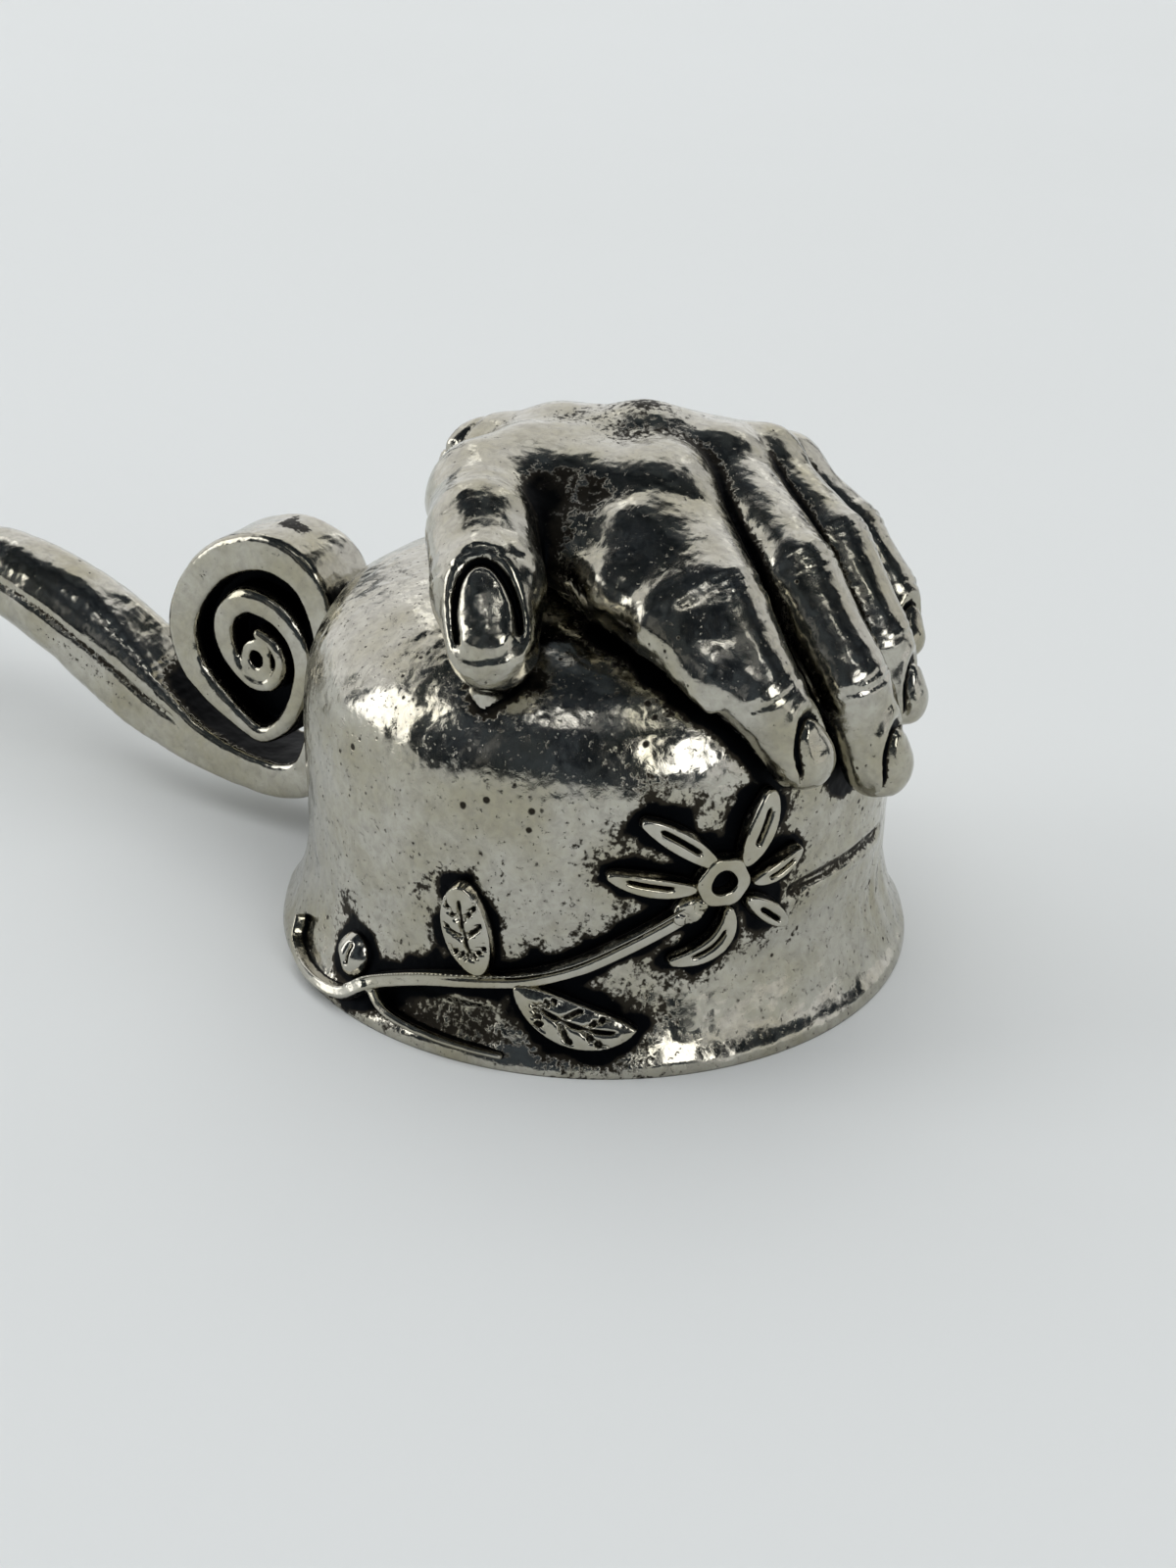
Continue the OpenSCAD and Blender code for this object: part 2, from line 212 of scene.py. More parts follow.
def bellDistance(points):
    # distance out of the bell's outside, read from a table that the first call fills
    b = bell
    step, (low, high) = b["tableStep"], b["tableZ"]
    rs, zs = np.arange(0, b["tableR"], step), np.arange(low, high, step)
    if "table" not in b:
        q = np.stack(np.meshgrid(rs, zs, indexing="ij"), -1).reshape(-1, 2)
        best = np.full(len(q), 99.0)
        for p in wallOutline(0, 0, 900)[::3]:
            best = np.minimum(best, np.hypot(q[:, 0] - p[0], q[:, 1] - p[1]))
        inside = (q[:, 0] < bellRadius(q[:, 1])) & (q[:, 1] < b["crownZ"])
        b["table"] = np.where(inside, -best, best).reshape(len(rs), len(zs))
    x = np.clip(np.hypot(points[..., 0], points[..., 1]) / step, 0, len(rs) - 1.001)
    y = np.clip((points[..., 2] - low) / step, 0, len(zs) - 1.001)
    i, j = x.astype(int), y.astype(int)
    u, v = x - i, y - j
    t = b["table"]
    return ((t[i, j] * (1 - u) + t[i + 1, j] * u) * (1 - v)
            + (t[i, j + 1] * (1 - u) + t[i + 1, j + 1] * u) * v)


def wallPoint(s, z, h):
    # s mm round the wall from the flower, z up it, h out of it
    slope = (bellRadius(z + 0.05) - bellRadius(z - 0.05)) / 0.1
    length = np.sqrt(1 + slope ** 2)
    r = bellRadius(z) + h / length
    a = flower["azimuth"] + s / bell["bodyR"]
    return np.stack([r * np.cos(a), r * np.sin(a), z - h * slope / length], -1)


# finishes

def linear(hexColour):
    rgb = [int(hexColour[i:i + 2], 16) / 255 for i in (1, 3, 5)]
    return [c / 12.92 if c <= 0.04045 else ((c + 0.055) / 1.055) ** 2.4 for c in rgb] + [1.0]


def add(tree, kind, inputs=None, **settings):
    # a node with its settings, and its inputs as values, sockets or whole nodes (their first output)
    node = tree.nodes.new(kind)
    for key, value in settings.items():
        setattr(node, key, value)
    for key, value in (inputs or {}).items():
        if isinstance(value, bpy.types.Node):
            value = next(socket for socket in value.outputs if socket.enabled)
        if isinstance(value, bpy.types.NodeSocket):
            tree.links.new(value, node.inputs[key])
        else:
            node.inputs[key].default_value = value
    return node


def freshMaterial(name):
    material = bpy.data.materials.new(name)
    material.use_nodes = True
    material.node_tree.nodes.clear()
    return material, material.node_tree


pewter = {
    "bright": "#bfbcb1",  # pewter under a worn polish, faintly warm
    "warm": "#aba692",  # a yellowish film where it is handled less
    "dim": "#85817a",  # grey mottling left between the strokes of the polish
    "brown": "#37332c",  # thin blackening, brown where it is half worn away
    "black": "#0b0d10",  # the maker's blackening, left in what the polish missed, and the colour of painted shade
    "grainMm": 0.17,  # casting grain, drawn coarse enough to show
    "mottleMm": 0.34,
    "dentMm": 0.9,  # shallow dents from the mould and the hammer
    "pitMm": 1.3,  # spacing of gas pits
    "stainMm": 5.0,
}


def antiquedPewter(name, roughness, dents, grain, pits, speckle, mottling):
    # cast pewter, blackened and polished back: high places shine, recesses stay black with patina, and
    # painted shade carried on the mesh turns black too
    material, tree = freshMaterial(name)
    place3d = add(tree, "ShaderNodeTexCoord").outputs["Object"]
    patinaAndShade = add(tree, "ShaderNodeAttribute", attribute_name="patinaAndShade").outputs["Fac"]
    grainNoise = add(tree, "ShaderNodeTexNoise", {"Vector": place3d, "Scale": 0.5 / (pewter["grainMm"] * mm),
                     "Detail": 3.0, "Roughness": 0.6})
    mottle = add(tree, "ShaderNodeTexNoise", {"Vector": place3d, "Scale": 0.5 / (pewter["mottleMm"] * mm),
                 "Detail": 4.0, "Roughness": 0.65, "Distortion": 0.6})
    dentNoise = add(tree, "ShaderNodeTexNoise", {"Vector": place3d, "Scale": 0.5 / (pewter["dentMm"] * mm),
                    "Detail": 2.0, "Roughness": 0.5})
    stain = add(tree, "ShaderNodeTexNoise", {"Vector": place3d, "Scale": 1 / (pewter["stainMm"] * mm),
                "Detail": 5.0, "Roughness": 0.6})
    pitCells = add(tree, "ShaderNodeTexVoronoi", {"Vector": place3d, "Scale": 1 / (pewter["pitMm"] * mm),
                   "Randomness": 1.0}, feature="F1")
    pitSize = add(tree, "ShaderNodeMapRange", {"Value": stain, "From Min": 0.42, "From Max": 0.68,
                  "To Min": 0.0, "To Max": pits})
    pitEdge = add(tree, "ShaderNodeMath", {0: pitSize, 1: pitCells}, operation="SUBTRACT")
    pit = add(tree, "ShaderNodeMapRange", {"Value": pitEdge, "From Min": -0.03, "From Max": 0.05},
              interpolation_type="SMOOTHSTEP")
    # specks gather in recesses and in painted shade, and thin out to nothing on the polish
    speckWant = add(tree, "ShaderNodeMapRange", {"Value": patinaAndShade, "From Min": 0.0, "From Max": 0.5,
                    "To Min": speckle, "To Max": 0.44})
    speckSum = add(tree, "ShaderNodeMath", {0: grainNoise, 1: speckWant}, operation="ADD")
    speck = add(tree, "ShaderNodeMapRange", {"Value": speckSum, "From Min": 0.68, "From Max": 0.84},
                interpolation_type="SMOOTHSTEP")
    ragged = add(tree, "ShaderNodeMath", {0: mottle, 1: 0.5, 2: -0.25}, operation="MULTIPLY_ADD")
    edge = add(tree, "ShaderNodeMath", {0: patinaAndShade, 1: ragged}, operation="ADD")
    deep = add(tree, "ShaderNodeMapRange", {"Value": edge, "From Min": 0.4, "From Max": 0.72},
               interpolation_type="SMOOTHSTEP")
    film = add(tree, "ShaderNodeMapRange", {"Value": stain, "From Min": 0.4, "From Max": 0.65})
    dull = add(tree, "ShaderNodeMapRange", {"Value": mottle, "From Min": 0.4, "From Max": 0.7,
               "To Max": mottling})
    metal = add(tree, "ShaderNodeMix", {"Factor": film, "A": linear(pewter["bright"]),
                "B": linear(pewter["warm"])}, data_type="RGBA")
    mottled = add(tree, "ShaderNodeMix", {"Factor": dull, "A": metal, "B": linear(pewter["dim"])},
                  data_type="RGBA")
    brown = add(tree, "ShaderNodeMath", {0: speck, 1: pit}, operation="MAXIMUM")
    specked = add(tree, "ShaderNodeMix", {"Factor": brown, "A": mottled, "B": linear(pewter["brown"])},
                  data_type="RGBA")
    colour = add(tree, "ShaderNodeMix", {"Factor": deep, "A": specked, "B": linear(pewter["black"])},
                 data_type="RGBA")
    dark = add(tree, "ShaderNodeMath", {0: brown, 1: deep}, operation="MAXIMUM")
    worn = add(tree, "ShaderNodeMath", {0: dull, 1: 0.28, 2: roughness}, operation="MULTIPLY_ADD")
    rough = add(tree, "ShaderNodeMapRange", {"Value": dark, "To Min": worn, "To Max": 0.55})
    dentBump = add(tree, "ShaderNodeBump", {"Height": dentNoise, "Strength": dents, "Distance": 0.0003})
    mottleBump = add(tree, "ShaderNodeBump", {"Height": mottle, "Strength": grain, "Distance": 0.00009,
                     "Normal": dentBump})
    pitBump = add(tree, "ShaderNodeBump", {"Height": dark, "Strength": 0.4, "Distance": 0.00007,
                  "Normal": mottleBump}, invert=True)
    shader = add(tree, "ShaderNodeBsdfPrincipled", {"Base Color": colour, "Metallic": 1.0,
                 "Roughness": rough, "Normal": pitBump})
    add(tree, "ShaderNodeOutputMaterial", {"Surface": shader})
    return material


steel = {"colour": "#b9bcc2", "dull": "#8c8f96", "drawMm": 0.12}


def drawnSteel(name, roughness):
    # bright drawn wire and turned steel: fine lines round it, a little dulled with handling
    material, tree = freshMaterial(name)
    place3d = add(tree, "ShaderNodeTexCoord").outputs["Object"]
    lines = add(tree, "ShaderNodeMapping", {"Vector": place3d, "Scale": (1, 1, 6)})
    drawn = add(tree, "ShaderNodeTexNoise", {"Vector": lines, "Scale": 1 / (steel["drawMm"] * mm) / 3,
                "Detail": 3.0})
    worn = add(tree, "ShaderNodeTexNoise", {"Vector": place3d, "Scale": 600.0, "Detail": 3.0})
    patinaAndShade = add(tree, "ShaderNodeAttribute", attribute_name="patinaAndShade").outputs["Fac"]
    metal = add(tree, "ShaderNodeMix", {"Factor": worn, "A": linear(steel["colour"]),
                "B": linear(steel["dull"])}, data_type="RGBA")
    colour = add(tree, "ShaderNodeMix", {"Factor": patinaAndShade, "A": metal, "B": linear(pewter["black"])},
                 data_type="RGBA")
    rough = add(tree, "ShaderNodeMapRange", {"Value": drawn, "To Min": roughness, "To Max": roughness + 0.2})
    bump = add(tree, "ShaderNodeBump", {"Height": drawn, "Strength": 0.25, "Distance": 0.00002})
    shader = add(tree, "ShaderNodeBsdfPrincipled", {"Base Color": colour, "Metallic": 1.0,
                 "Roughness": rough, "Normal": bump})
    add(tree, "ShaderNodeOutputMaterial", {"Surface": shader})
    return material


# roughness, dents, grain, pits, specks on the polish, mottling
# the bell's wall: bright where it was buffed, pitted and grey between
castWall = antiquedPewter("antiqued cast pewter", 0.1, 0.5, 0.2, 0.2, 0.08, 0.45)
# the hand: buffed brightest on its knuckles, with few pits
castHand = antiquedPewter("burnished pewter hand", 0.11, 0.55, 0.2, 0.14, 0.04, 0.45)
# the handle: smooth with holding, black only in its recesses, its painted shade and its painted reflection
castHandle = antiquedPewter("worn pewter handle", 0.12, 0.5, 0.14, 0.12, 0.01, 0.4)
# the spray: clean bright tops over black grooves
chasedRelief = antiquedPewter("chased pewter relief", 0.12, 0.3, 0.15, 0.05, 0.0, 0.15)
# the clapper's ball: grey as it came from the mould, never buffed
dullBall = antiquedPewter("dull cast ball", 0.36, 0.6, 0.5, 0.25, 0.16, 0.8)
# stud and ring: a bright line of light along the wire
brightWire = drawnSteel("bright drawn wire", 0.2)
# washer and clapper rod: softer light, broken by the tool's lines
turnedRod = drawnSteel("turned steel rod", 0.28)
print("finishes made")


# geometry nodes: a turned shape, and a wire ring

def newTree(name, sockets):
    tree = bpy.data.node_groups.new(name, "GeometryNodeTree")
    for label, kind, value in sockets:
        item = tree.interface.new_socket(label, in_out="INPUT", socket_type=kind)
        if value is not None:
            item.default_value = value
    tree.interface.new_socket("Geometry", in_out="OUTPUT", socket_type="NodeSocketGeometry")
    return tree, add(tree, "NodeGroupInput").outputs


def ended(tree, geometry, finish):
    soft = add(tree, "GeometryNodeSetShadeSmooth", {"Geometry": geometry})
    real = add(tree, "GeometryNodeRealizeInstances", {"Geometry": soft})
    done = add(tree, "GeometryNodeSetMaterial", {"Geometry": real, "Material": finish})
    add(tree, "NodeGroupOutput", {"Geometry": done})
    return tree


def turnedTree():
    # turns an outline (a chain of points, r along X and z up) round the Z axis, then dents it
    tree, given = newTree("turned shape", [
        ("Outline", "NodeSocketGeometry", None), ("Points", "NodeSocketInt", 50),
        ("Steps Round", "NodeSocketInt", 64), ("Dent Depth", "NodeSocketFloat", 0.0),
        ("Dent Size", "NodeSocketFloat", 0.007), ("Seed", "NodeSocketFloat", 0.0),
        ("Level Below", "NodeSocketFloat", 0.0), ("Finish", "NodeSocketMaterial", None)])
    columns = add(tree, "ShaderNodeMath", {0: given["Steps Round"], 1: 1.0}, operation="ADD")
    sheet = add(tree, "GeometryNodeMeshGrid", {"Size X": 1.0, "Size Y": 1.0, "Vertices X": columns,
                "Vertices Y": given["Points"]})
    here = add(tree, "ShaderNodeSeparateXYZ", {0: add(tree, "GeometryNodeInputPosition")}).outputs
    turn = add(tree, "ShaderNodeMath", {0: here["X"], 1: 2 * math.pi}, operation="MULTIPLY")
    last = add(tree, "ShaderNodeMath", {0: given["Points"], 1: 1.0}, operation="SUBTRACT")
    up = add(tree, "ShaderNodeMath", {0: here["Y"], 1: 0.5}, operation="ADD")
    row = add(tree, "ShaderNodeMath", {0: up, 1: last}, operation="MULTIPLY")
    rowNumber = add(tree, "ShaderNodeMath", {0: row}, operation="ROUND")
    picked = add(tree, "GeometryNodeSampleIndex", {"Geometry": given["Outline"], "Index": rowNumber,
                 "Value": add(tree, "GeometryNodeInputPosition")}, data_type="FLOAT_VECTOR", clamp=True)
    spot = add(tree, "ShaderNodeSeparateXYZ", {0: picked}).outputs
    ways = [add(tree, "ShaderNodeMath", {0: turn}, operation=way) for way in ("COSINE", "SINE")]
    x, y = (add(tree, "ShaderNodeMath", {0: spot["X"], 1: way}, operation="MULTIPLY") for way in ways)
    target = add(tree, "ShaderNodeCombineXYZ", {"X": x, "Y": y, "Z": spot["Z"]})
    turned = add(tree, "GeometryNodeSetPosition", {"Geometry": sheet, "Position": target})
    closed = add(tree, "GeometryNodeMergeByDistance", {"Geometry": turned, "Distance": 0.000002})
    moved = add(tree, "ShaderNodeVectorMath", {0: add(tree, "GeometryNodeInputPosition"),
                1: given["Seed"]}, operation="ADD")
    scale = add(tree, "ShaderNodeMath", {0: 1.0, 1: given["Dent Size"]}, operation="DIVIDE")
    dent = add(tree, "ShaderNodeTexNoise", {"Vector": moved, "Scale": scale, "Detail": 2.0})
    centred = add(tree, "ShaderNodeMath", {0: dent, 1: 0.5}, operation="SUBTRACT")
    height = add(tree, "ShaderNodeSeparateXYZ", {0: add(tree, "GeometryNodeInputPosition")}).outputs["Z"]
    fade = add(tree, "ShaderNodeMapRange", {"Value": height, "From Min": given["Level Below"],
               "From Max": add(tree, "ShaderNodeMath", {0: given["Level Below"], 1: 0.0015},
               operation="ADD")})
    depth = add(tree, "ShaderNodeMath", {0: centred, 1: given["Dent Depth"]}, operation="MULTIPLY")
    faded = add(tree, "ShaderNodeMath", {0: depth, 1: fade}, operation="MULTIPLY")
    push = add(tree, "ShaderNodeVectorMath", {0: add(tree, "GeometryNodeInputNormal"),
               "Scale": faded}, operation="SCALE")
    dented = add(tree, "GeometryNodeSetPosition", {"Geometry": closed, "Offset": push})
    return ended(tree, dented, given["Finish"])


def wireTree():
    # a round wire bent into a ring that stands in the XZ plane, round its own centre
    tree, given = newTree("wire ring", [
        ("Base", "NodeSocketGeometry", None), ("Ring Radius", "NodeSocketFloat", 0.002),
        ("Wire Radius", "NodeSocketFloat", 0.00045), ("Steps", "NodeSocketInt", 64),
        ("Centre", "NodeSocketVector", None), ("Turn", "NodeSocketVector", None),
        ("Finish", "NodeSocketMaterial", None)])
    path = add(tree, "GeometryNodeCurvePrimitiveCircle", {"Resolution": given["Steps"],
               "Radius": given["Ring Radius"]}, mode="RADIUS")
    section = add(tree, "GeometryNodeCurvePrimitiveCircle", {"Resolution": 24,
                  "Radius": given["Wire Radius"]}, mode="RADIUS")
    wire = add(tree, "GeometryNodeCurveToMesh", {"Curve": path, "Profile Curve": section})
    put = add(tree, "GeometryNodeTransform", {"Geometry": wire, "Translation": given["Centre"],
              "Rotation": given["Turn"]})
    return ended(tree, put, given["Finish"])


def grown(name, base, tree, values):
    # runs a tree on an object and keeps the result as a plain mesh
    modifier = base.modifiers.new("grow", "NODES")
    modifier.node_group = tree
    for item in tree.interface.items_tree:
        if item.in_out == "INPUT" and item.name in values:
            modifier[item.identifier] = values[item.name]
    seen = base.evaluated_get(bpy.context.evaluated_depsgraph_get())
    mesh = bpy.data.meshes.new_from_object(seen)
    mesh.name = name
    bpy.data.objects.remove(base)
    return linked(name, mesh)


def chain(name, outline):
    # an outline as a chain of edges, r along X and z up
    mesh = bpy.data.meshes.new(name)
    edges = [(i, i + 1) for i in range(len(outline) - 1)]
    mesh.from_pydata([(r * mm, 0, z * mm) for r, z in outline], edges, [])
    return linked(name, mesh)


turned = turnedTree()
wire = wireTree()


def turnedPiece(name, outline, finish, steps=96, dents=0.0, dentSize=2.0, seed=0, levelBelow=-1.0):
    line = np.array(outline, float)
    if np.sum((line[1:, 0] + line[:-1, 0]) ** 2 * np.diff(line[:, 1])) < 0:
        outline = outline[::-1]  # so that its faces point outwards
    return grown(name, chain(name, outline), turned, {
        "Points": len(outline), "Steps Round": steps, "Dent Depth": dents * mm, "Dent Size": dentSize * mm,
        "Seed": float(seed), "Level Below": levelBelow * mm, "Finish": finish})


def wirePiece(name, radius, thickness, centre, turn, finish):
    return grown(name, chain(name, [(0, 0), (1, 0)]), wire, {
        "Ring Radius": radius * mm, "Wire Radius": thickness * mm, "Centre": Vector(centre) * mm,
        "Turn": Vector(turn), "Finish": finish})


def joined(name, pieces):
    # one mesh from several
    points, faces, start = [], [], 0
    for p in pieces:
        co = meshPoints(p)
        points.append(co)
        faces += [[i + start for i in f.vertices] for f in p.data.polygons]
        start += len(co)
    finish = pieces[0].data.materials[0]
    for p in pieces:
        bpy.data.objects.remove(p)
    return plainMesh(name, np.vstack(points), faces, finish)


# solids carved from a distance field: negative inside, on an even grid

def gridAxes(lo, hi, step):
    counts = np.ceil((np.array(hi) - np.array(lo)) / step).astype(int) + 1
    axes = [(lo[i] + step * np.arange(counts[i])).astype(np.float32) for i in range(3)]
    return axes[0][:, None, None], axes[1][None, :, None], axes[2][None, None, :]


def blendMin(a, b, k):
    h = np.clip(0.5 + 0.5 * (b - a) / k, 0, 1)
    return mix(b, a, h) - k * h * (1 - h)


def capsule(axes, a, b, ra, rb):
    # a rounded bar from a to b that changes from radius ra to rb
    ab = [b[i] - a[i] for i in range(3)]
    long2 = max(sum(c * c for c in ab), 1e-6)
    t = np.clip(sum((axes[i] - a[i]) * ab[i] for i in range(3)) / long2, 0, 1)
    d2 = sum((axes[i] - a[i] - t * ab[i]) ** 2 for i in range(3))
    return np.sqrt(d2) - mix(ra, rb, t)


def sampled(field, lo, step, points):
    q = np.clip((points - np.array(lo)) / step, 0, np.array(field.shape) - 1.001)
    i = q.astype(int)
    f = q - i
    total = 0
    for corner in np.ndindex(2, 2, 2):
        c = np.array(corner)
        total = total + field[tuple((i + c).T)] * np.prod(np.where(c, f, 1 - f), axis=1)
    return total


def softened(field, reach):
    # a running mean, twice over along each axis, reach cells each way
    for axis in range(3):
        for _ in range(2):
            more = [(reach + 1, reach) if a == axis else (0, 0) for a in range(3)]
            padded = np.pad(field, more, mode="edge")
            run = np.cumsum(padded, axis=axis, dtype=np.float64)
            head = np.take(run, range(2 * reach + 1, run.shape[axis]), axis=axis)
            tail = np.take(run, range(0, run.shape[axis] - 2 * reach - 1), axis=axis)
            field = ((head - tail) / (2 * reach + 1)).astype(np.float32)
    return field


def carved(name, field, lo, step, finish, bend=None):
    # the skin of a field as a closed mesh, through bend when the field lies along the wall
    grid = openvdb.FloatGrid(1.0)
    grid.copyFromArray(np.ascontiguousarray(field, dtype=np.float32))
    points, triangles, quads = grid.convertToPolygons(isovalue=0.0, adaptivity=0.0)
    points = points * step + np.array(lo)
    if bend:
        points = bend(points)
    faces = quads.tolist() + triangles.tolist()
    a, b, c = (points[quads[:, i]] for i in (0, 1, 2))
    d = points[quads[:, 3]]
    inward = np.sum(np.cross(b - a, c - a) * a + np.cross(c - a, d - a) * a) < 0
    if inward:
        faces = [f[::-1] for f in faces]
    return plainMesh(name, points, faces, finish)


def ageHollows(points, field, lo, step, near=0.45, wide=1.3, gain=1.0):
    # hollows fill with blackening: where the solid's mean inside a small ball is high
    level = sampled(field, lo, step, points)
    close = level - sampled(softened(field, max(1, round(near / step))), lo, step, points)
    broad = level - sampled(softened(field, max(1, round(wide / step))), lo, step, points)
    return gain * (3.2 * close + 1.1 * broad)


# the spray: each piece is a low height over the wall, in s, z

flower = {
    "azimuth": math.radians(-36.6),
    "z": 11.4,
    "ring": (-0.3, 11.75),
    "ringR": 1.62,
    "holeR": 0.64,
    "ringH": 0.95,
    "petalH": 0.95,
    "leafH": 0.9,
    "stemW": 0.55,
    "stemH": 0.85,
    "budR": 1.45,
    "sunk": -0.45,  # how far each piece's foot goes into the wall, and the most it can rise
    "tallest": 1.75,
    "grid": 0.075,
    "petals": [[(-0.8, 1.45), (-2.6, 3.2), (-4.7, 4.3), 0.8], [(1.1, 1.4), (1.9, 3.2), (2.5, 5.0), 1.0],
               [(1.8, -0.1), (3.2, 0.2), (4.6, 1.1), 0.7], [(1.5, -1.3), (2.8, -2.3), (3.9, -3.4), 0.75],
               [(0.2, -1.7), (0.3, -4.2), (-2.9, -4.5), 0.8], [(-2.0, 0.1), (-4.2, 0.4), (-6.5, 1.15), 0.75]],
    "stem": [(-1.7, 10.3), (-3.6, 9.2), (-5.7, 8.0), (-8.2, 6.6), (-11, 5.5), (-13, 5.05), (-17.1, 4.1),
             (-20.5, 2.7), (-22.1, 1.5)],
    "branch": [(-20.9, 2.3), (-19.4, 1.35), (-16.0, 1.0), (-12.2, 0.85)],
    "fold": [(-29.2, 2.5), (-28.7, 1.4), (-26.8, 0.85), (-24.8, 0.75), (-22.7, 1.1), (-21.2, 2.2)],
    "calyx": [(-1.3, 10.6), (-2.1, 10.15), (-3.0, 9.6)],
    "upperLeaf": [(-13.7, 5.5), (-15.2, 8.2), (-14.8, 10.9)],
    "lowerLeaf": [(-11.6, 5.0), (-8.5, 2.2), (-5.0, 2.8)],
    "bud": (-22.9, 3.35),
    "widths": {"upperLeaf": 1.5, "lowerLeaf": 1.35, "calyx": 0.95},
}


def bendRun(points, steps=24):
    t = np.linspace(0, 1, steps)[:, None]
    a, b, c = (np.array(p) for p in points)
    return a * (1 - t) ** 2 + b * 2 * t * (1 - t) + c * t * t


def leafWidths(w, count, power):
    t = np.linspace(0, 1, count)
    return np.maximum(0.1, w * np.sin(np.pi * t ** power).clip(0) ** 0.75)


def ribbon(s, z, path, widths):
    # how far inside a ribbon, how far along it (0 to 1), and where across it (-1 to 1)
    best = np.full(np.broadcast(s, z).shape, -99.0)
    along = np.zeros_like(best)
    side = np.zeros_like(best)
    for i in range(len(path) - 1):
        a, ab = path[i], path[i + 1] - path[i]
        t = np.clip(((s - a[0]) * ab[0] + (z - a[1]) * ab[1]) / (ab @ ab), 0, 1)
        x, y = s - a[0] - t * ab[0], z - a[1] - t * ab[1]
        w = mix(widths[i], widths[i + 1], t)
        m = w - np.hypot(x, y)
        take = m > best
        best = np.where(take, m, best)
        along = np.where(take, (i + t) / (len(path) - 1), along)
        side = np.where(take, (ab[0] * y - ab[1] * x) / np.hypot(*ab) / w, side)
    return best, along, side


def edged(m, height, steep=0.22):
    # from full height inside an outline to below the wall outside it
    return np.where(m < 0, 4 * m, height * np.sin(np.clip(m / steep, 0, 1) * math.pi / 2))


def petalHeight(points, w):
    path = bendRun(points)
    t = np.linspace(0, 1, len(path))
    widths = w * np.clip(np.sin(np.pi * np.clip(0.09 + 0.82 * t, 0, 1)), 0.05, 1) ** 0.5  # blunt at both ends

    def height(s, z):
        m, u, q = ribbon(s, z, path, widths)
        top = 0.86 + 0.14 * np.abs(q) ** 3 + 0.12 * np.sin(np.pi * u)
        slit = 0.5 * peak(q + 0.1, 0.16) * smooth((0.86 - u) / 0.1) * smooth((u - 0.22) / 0.12)
        return edged(m, flower["petalH"] * (top - slit), 0.24)
    return height


def leafHeight(points, w):
    path = bendRun(points)
    widths = leafWidths(w, len(path), 0.9) ** 0.8 * w ** 0.2 * 1.06

    def height(s, z):
        m, u, q = ribbon(s, z, path, widths)
        middle = 0.4 * peak(q, 0.1) * smooth((0.88 - u) / 0.1) * smooth((u - 0.12) / 0.1)
        # three pairs of veins lean towards the tip
        lean = u - 0.17 * np.abs(q)
        reach = smooth((np.abs(q) - 0.06) / 0.1) * smooth((0.8 - np.abs(q)) / 0.15)
        veins = sum(peak(lean - k, 0.03) for k in (0.2, 0.4, 0.6)) * 0.36 * reach
        dome = 1.08 - 0.36 * q * q
        return edged(m, flower["leafH"] * dome - middle - veins)
    return height


def stemHeight(s, z):
    path = runThrough(flower["stem"], 4)
    widths = np.linspace(1.25, 0.85, len(path)) * flower["stemW"]
    m, u, q = ribbon(s, z, path, widths)
    # a thin bright upper edge, a groove under it, then a flat face
    face = flower["stemH"] * (0.86 + 0.24 * smooth((-q - 0.45) / 0.25))
    main = edged(m, face - 0.28 * peak(q + 0.32, 0.14) * smooth((0.75 - u) / 0.2), 0.18)
    branch = runThrough(flower["branch"], 4)
    m2 = ribbon(s, z, branch, np.linspace(0.4, 0.24, len(branch)))[0]
    fold = runThrough(flower["fold"], 4)
    m3 = ribbon(s, z, fold, np.linspace(0.34, 0.5, len(fold)))[0]
    return np.maximum(main, np.maximum(edged(m2, 0.55), edged(m3, 0.85)))


def calyxHeight(s, z):
    path = bendRun(flower["calyx"])
    m, u, q = ribbon(s, z, path, leafWidths(flower["widths"]["calyx"], len(path), 1))
    ribs = 0.16 * (peak(u - 0.35, 0.06) + peak(u - 0.62, 0.06))
    return edged(m, 1.0 - 0.25 * q * q - ribs, 0.3)


def ringHeight(s, z):
    x, y = s - flower["ring"][0], z - flower["ring"][1]
    a = np.arctan2(y, x)
    # hammered flat, so its outside is slightly cornered
    outer = flower["ringR"] * (1 + 0.03 * np.cos(6 * a + 0.6) + 0.02 * np.cos(3 * a + 2))
    inner = flower["holeR"] * (1 + 0.07 * np.cos(3 * a + 1.2))
    r = np.hypot(x, y)
    m = np.minimum(outer - r, r - inner)
    face = edged(m, flower["ringH"], 0.16)
    return np.where(r < (outer + inner) / 2, np.maximum(face, 0.12), face)


def budHeight(s, z):
    x, y = s - flower["bud"][0], z - flower["bud"][1]
    m = flower["budR"] - np.hypot(x / 0.96, y)
    dome = np.sqrt(np.maximum(flower["budR"] ** 2 - (x / 0.96) ** 2 - y ** 2, 0)) - 0.38
    slot = 0.42 * peak(x - 0.25, 0.13) * smooth((0.75 - np.abs(y - 0.15)) / 0.3)
    dimple = 0.7 * peak(np.hypot(x + 0.75, y + 0.7), 0.42)
    return np.where(m < 0, 4 * m, dome * smooth(m / 0.1) - slot - dimple)


